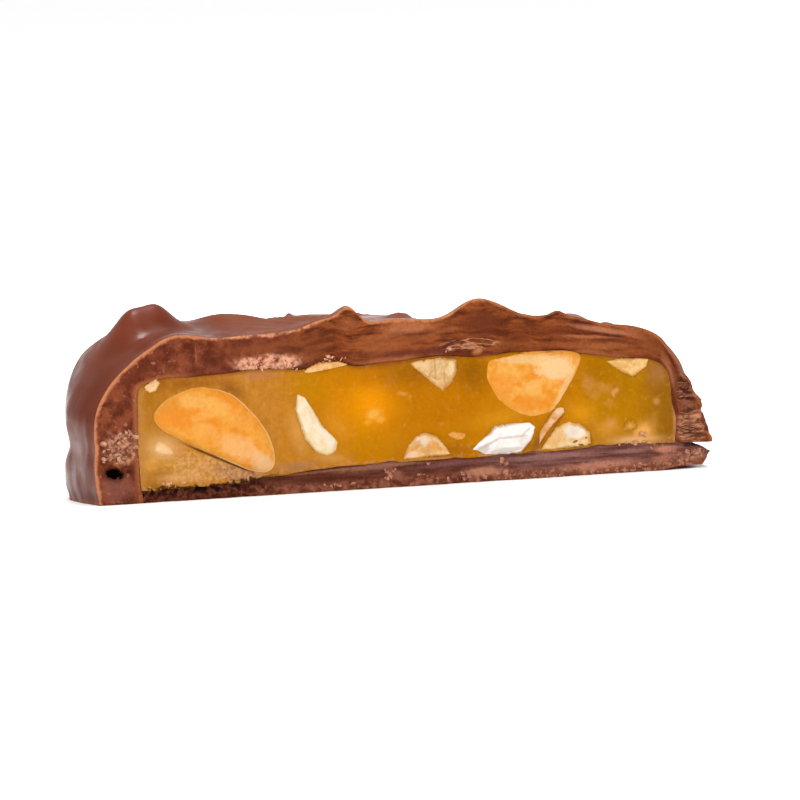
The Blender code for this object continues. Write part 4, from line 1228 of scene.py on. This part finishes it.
# Small lighter spots with broken edges, where bits of peanut lie just below the surface
caramelSpots = (
    (-2.7, 7.35, 0.75, 0.55, 20, 0.8, (255, 190, 84)),
    (-2.1, 6.75, 0.5, 0.35, 0, 0.7, (255, 182, 66)),
    (-3.3, 6.6, 0.4, 0.3, 0, 0.6, (252, 176, 56)),
    (0.3, 9.2, 0.5, 0.22, -10, 0.8, (236, 162, 70)),
    (-0.9, 10.6, 0.6, 0.9, 0, 0.35, (190, 120, 40)),
    (18.9, 9.0, 0.6, 1.1, 10, 0.6, (216, 142, 72)),
    (19.6, 7.9, 0.5, 0.5, 0, 0.5, (214, 150, 60)),
    (20.4, 8.6, 1.2, 0.5, -25, 0.5, (224, 156, 74)),
    (20.9, 7.0, 0.6, 0.4, 0, 0.5, (214, 144, 58)),
    (21.0, 5.0, 0.7, 0.5, 30, 0.6, (226, 160, 84)),
    (24.2, 4.0, 1.0, 0.8, 20, 0.9, (250, 184, 98)),
    (25.7, 6.9, 0.35, 0.4, 0, 0.6, (222, 160, 92)),
    (25.2, 4.9, 0.5, 0.9, 0, 0.5, (196, 140, 56)),
    (-24.6, 8.8, 0.8, 1.2, 0, 0.4, (196, 132, 48)),
    (-25.0, 3.7, 0.9, 0.8, 0, 0.7, (236, 170, 74)),
    (-23.0, 3.6, 1.4, 0.6, -10, 0.6, (216, 156, 30)),
)


# The caramel's colours, from its middle to its edges
caramelColours = dict(
    middle=((196, 122, 0), (208, 132, 0)),
    left=((194, 124, 34), (208, 138, 50)),
    leftMottles=(216, 146, 56),
    leftEnd=(176, 112, 18),
    right=(192, 128, 0),
    rightEnd=(158, 102, 16),
    granular=((212, 146, 62), (240, 186, 122)),
    dusty=((172, 118, 78), (218, 168, 122)),
    shadeUnderCoat=(150, 84, 18),
    rightSeam=(206, 142, 92),
    crackShadow=(112, 62, 28),
    leftSeam=(204, 144, 74),
    lowerEdge=(212, 152, 100),
    caughtCrumbs=(48, 20, 10),
)


def caramelPaint():
    # Amber, stringy at the left, with patches, granular stretches and an edge that differs on every side
    paint = Paint(
        "caramel", (200, 126, 0), 0.34, Specular_IOR_Level=0.012,
        Subsurface_Weight=0.3, Subsurface_Scale=mm, Subsurface_Radius=(1.8, 0.9, 0.25),
    )
    top = paint.attribute("topDistance")
    strands = paint.noise(0.34, 4.0, 0.6, paint.stretched((1.0, 1.0, 0.22)))
    clouds, mottles = paint.noise(2.2, 3.0, 0.5), paint.noise(0.7, 3.0, 0.6)
    paint.colour = paint.blend(clouds, 0.35, 0.65, *caramelColours["middle"])
    left = paint.blend(strands, 0.25, 0.75, *caramelColours["left"])
    left = paint.mix(0.5 * paint.step(mottles, 0.40, 0.65), left, caramelColours["leftMottles"])
    paint.lay(paint.step(paint.x + 3.0 * clouds, -6.0, -12.0), left)
    paint.lay(0.8 * paint.step(paint.x + 2.0 * clouds, -20.0, -24.0), caramelColours["leftEnd"])
    paint.lay(paint.step(paint.x, 17.5, 19.5), caramelColours["right"])
    paint.lay(paint.step(paint.x + 3.0 * clouds, 24.0, 28.5), caramelColours["rightEnd"])
    paint.layPatches(caramelPatches)
    paint.layPatches(caramelSpots, (0.0, 1.0), 0.6)
    # A pale granular patch low at the left, and a greyer one below the crack
    fine = paint.noise(0.35, 3.0, 0.65)
    granular = paint.spot(-20.2, 3.1, 3.8, 1.6, -14.0) + 1.2 * (mottles - 0.5)
    grains = paint.blend(fine, 0.34, 0.66, *caramelColours["granular"])
    paint.lay(0.75 * paint.step(granular, 0.15, 0.9), grains)
    dusty = paint.spot(-16.4, 2.4, 2.8, 0.9, -16.0) + 0.6 * (mottles - 0.5)
    paint.lay(0.8 * paint.step(dusty, 0.1, 0.8), paint.blend(fine, 0.36, 0.64, *caramelColours["dusty"]))
    # Painted shade under the coat, a pale line at the right wall and a painted shadow in the crack below the
    # left peanut
    shadeUnderCoat = paint.step(top + 0.4 * mottles, 0.75, 0.20) * paint.step(paint.z, 8.0, 10.5)
    paint.lay(0.6 * shadeUnderCoat, caramelColours["shadeUnderCoat"])
    rightSeam = paint.step(paint.x + 0.8 * (mottles - 0.5), 27.0, 27.5)
    paint.lay(0.7 * rightSeam * paint.step(paint.z, 11.0, 8.0), caramelColours["rightSeam"])
    # A painted shadow along the crack, where the peanut stands proud
    crackShadow = paint.spot(-18.3, 3.95, 3.8, 0.13, -26.0)
    paint.lay(0.8 * paint.step(crackShadow, 0.2, 0.7), caramelColours["crackShadow"])
    # A soft pale seam at the left wall
    leftSeam = paint.step(paint.x + 2.4 * (mottles - 0.5), -24.9, -25.8)
    paint.lay(0.6 * leftSeam, caramelColours["leftSeam"])
    # A pale lower edge, and dark crumbs of the base caught in it at the left
    overBase = paint.z - 1.25 - 1.3 * paint.step(paint.x, -22.0, -2.0)
    lowerEdge = paint.step(overBase - 0.8 * (mottles - 0.5), 0.40, 0.10)
    paint.lay(0.5 * lowerEdge * paint.step(mottles, 0.42, 0.58), caramelColours["lowerEdge"])
    caught = paint.step(overBase - 1.6 * (mottles - 0.5), 0.36, 0.16) * paint.step(paint.x, -10.0, -15.0)
    caught = 0.9 * caught * paint.step(paint.noise(0.9, 2.0, 0.6), 0.42, 0.50)
    paint.lay(caught, caramelColours["caughtCrumbs"])
    return paint.finish(0.3 * strands + 0.5 * mottles, 0.04, (0.40, 0.07))


def nutPaint(name, look):
    # Mottled from dark to light, with its marks and, where it has one, a rim by the distance from its edge
    paint = Paint(
        name, look["dark"], 0.5, Specular_IOR_Level=0.06, Subsurface_Weight=0.12, Subsurface_Scale=mm
    )
    cloud = paint.noise(look["speckle"], 4.0, 0.6)
    paint.colour = paint.blend(cloud, 0.34, 0.66, look["dark"], look["light"])
    paint.layPatches(look.get("marks", ()), look.get("markEdge", (0.25, 0.60)), look.get("ragged", 0.45))
    if "rim" in look:
        width = look["rimWidth"]
        thin = paint.step(paint.attribute("edgeDistance") + 0.12 * (cloud - 0.5), width, 0.3 * width)
        # Where the rim grows along x, as on the left half, it is a painted highlight
        if "rimHighlightFrom" in look:
            thin = thin * (0.25 + 0.75 * paint.step(paint.x, *look["rimHighlightFrom"]))
        paint.lay(0.8 * thin, look["rim"])
    return paint.finish(paint.noise(0.3), 0.05, (0.40, 0.05))


def addPiece(piece, slot, nodes, *materials):
    # Hands a piece with its materials to the frame: its body and the nodes that it replaces
    for material in materials:
        piece.data.materials.append(material)
    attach(piece, "root")
    if nodes:
        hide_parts(*nodes)


def buildPatty():
    # Every piece with its finishes; a number counted up from 200, 400 or 500 is the seed of its noise
    addPiece(buildCoat(), "milk_chocolate", ["chocolate_coat"], skinPaint(), cutPaint())
    print("coat ready")
    addPiece(buildBase(), "base_chocolate", ["chocolate_base"], basePaint())
    addPiece(buildCaramel(), "caramel", ["caramel_filling"], caramelPaint())
    print("base and caramel ready")
    for slot, nuts in (("roast_peanut", peanutHalves), ("pale_peanut", peanutPieces)):
        for number, (node, nut) in enumerate(nuts.items()):
            name = node.replace("_", "-")
            addPiece(buildNut(name, nut, 200 + 20 * number), slot, [node], nutPaint(name, nut))
    for number, (name, (oval, proud, light, dark, rim, width)) in enumerate(caramelBits.items()):
        bit = dict(
            corners=ovalCorners(*oval), proud=proud, depth=1.0, edge=3.0, planes=0.2, rough=0.06, speckle=0.6,
            light=light, dark=dark, rim=rim, rimWidth=width,
        )
        addPiece(buildNut(name, bit, 400 + 20 * number), "pale_peanut", [], nutPaint(name, bit))
    print("peanuts ready")
    for number, (name, kind) in enumerate(crumbKinds.items()):
        crumbs = buildCrumbs(name, kind, 500 + number)
        addPiece(crumbs, kind["slot"], [], nutPaint(name, dict(kind, speckle=0.4)))
    print("crumbs ready")


# The photo's view: degrees, metres from the target, the target in millimetres and the lens
view = dict(azimuth=-9.0, elevation=5.0, roll=2.73, distance=0.70, target=(0.0, 0.0, 8.6), lens=320.0)
lights = dict(
    # place in metres, size, watts, colour
    above=((0.05, 0.10, 0.55), 0.17, 3.6, (1.0, 0.97, 0.96)),
    frontLeft=((-0.35, -0.45, 0.35), 0.16, 2.3, (1.0, 0.98, 0.96)),
    frontRight=((0.42, -0.40, 0.22), 0.20, 1.3, (1.0, 0.97, 0.94)),
)


def buildStage():
    # White surroundings, a square of pale floor and three square lamps that look at the middle
    world = bpy.data.worlds.new("studio")
    world.use_nodes = True
    background = world.node_tree.nodes["Background"]
    background.inputs["Color"].default_value = (1.0, 1.0, 1.0, 1.0)
    background.inputs["Strength"].default_value = 1.0
    bpy.context.scene.world = world
    bpy.context.scene.view_settings.view_transform = "Standard"
    reach = 4.0
    corners = [(-reach, -reach, 0), (reach, -reach, 0), (reach, reach, 0), (-reach, reach, 0)]
    mesh = bpy.data.meshes.new("floor")
    mesh.from_pydata(corners, [], [(0, 1, 2, 3)])
    floor = bpy.data.objects.new("floor", mesh)
    bpy.context.scene.collection.objects.link(floor)
    paper = bpy.data.materials.new("floorPaper")
    paper.use_nodes = True
    shader = paper.node_tree.nodes["Principled BSDF"]
    shader.inputs["Base Color"].default_value = (0.97, 0.97, 0.97, 1.0)
    shader.inputs["Roughness"].default_value = 0.9
    mesh.materials.append(paper)
    for name, (place, size, watts, colour) in lights.items():
        lamp = bpy.data.lights.new(name, "AREA")
        lamp.size, lamp.energy, lamp.color = size, watts, colour
        light = bpy.data.objects.new(name, lamp)
        light.location = place
        light.rotation_euler = (-Vector(place)).to_track_quat("-Z", "Y").to_euler()
        bpy.context.scene.collection.objects.link(light)


def buildCamera():
    # The camera stands away from the target by azimuth and elevation, looks at it and rolls
    azimuth, elevation = math.radians(view["azimuth"]), math.radians(view["elevation"])
    level = math.cos(elevation)
    away = Vector((math.sin(azimuth) * level, -math.cos(azimuth) * level, math.sin(elevation)))
    target = Vector((np.array(view["target"]) + cutPlace) * mm)
    lens = bpy.data.cameras.new("camera")
    lens.lens = view["lens"]
    lens.clip_start = 0.01
    camera = bpy.data.objects.new("camera", lens)
    camera.location = target + away * view["distance"]
    aim = (-away).to_track_quat("-Z", "Y") @ Quaternion((0.0, 0.0, 1.0), -math.radians(view["roll"]))
    camera.rotation_euler = aim.to_euler()
    bpy.context.scene.collection.objects.link(camera)
    bpy.context.scene.camera = camera


buildPatty()
buildStage()
buildCamera()
print("stage ready")
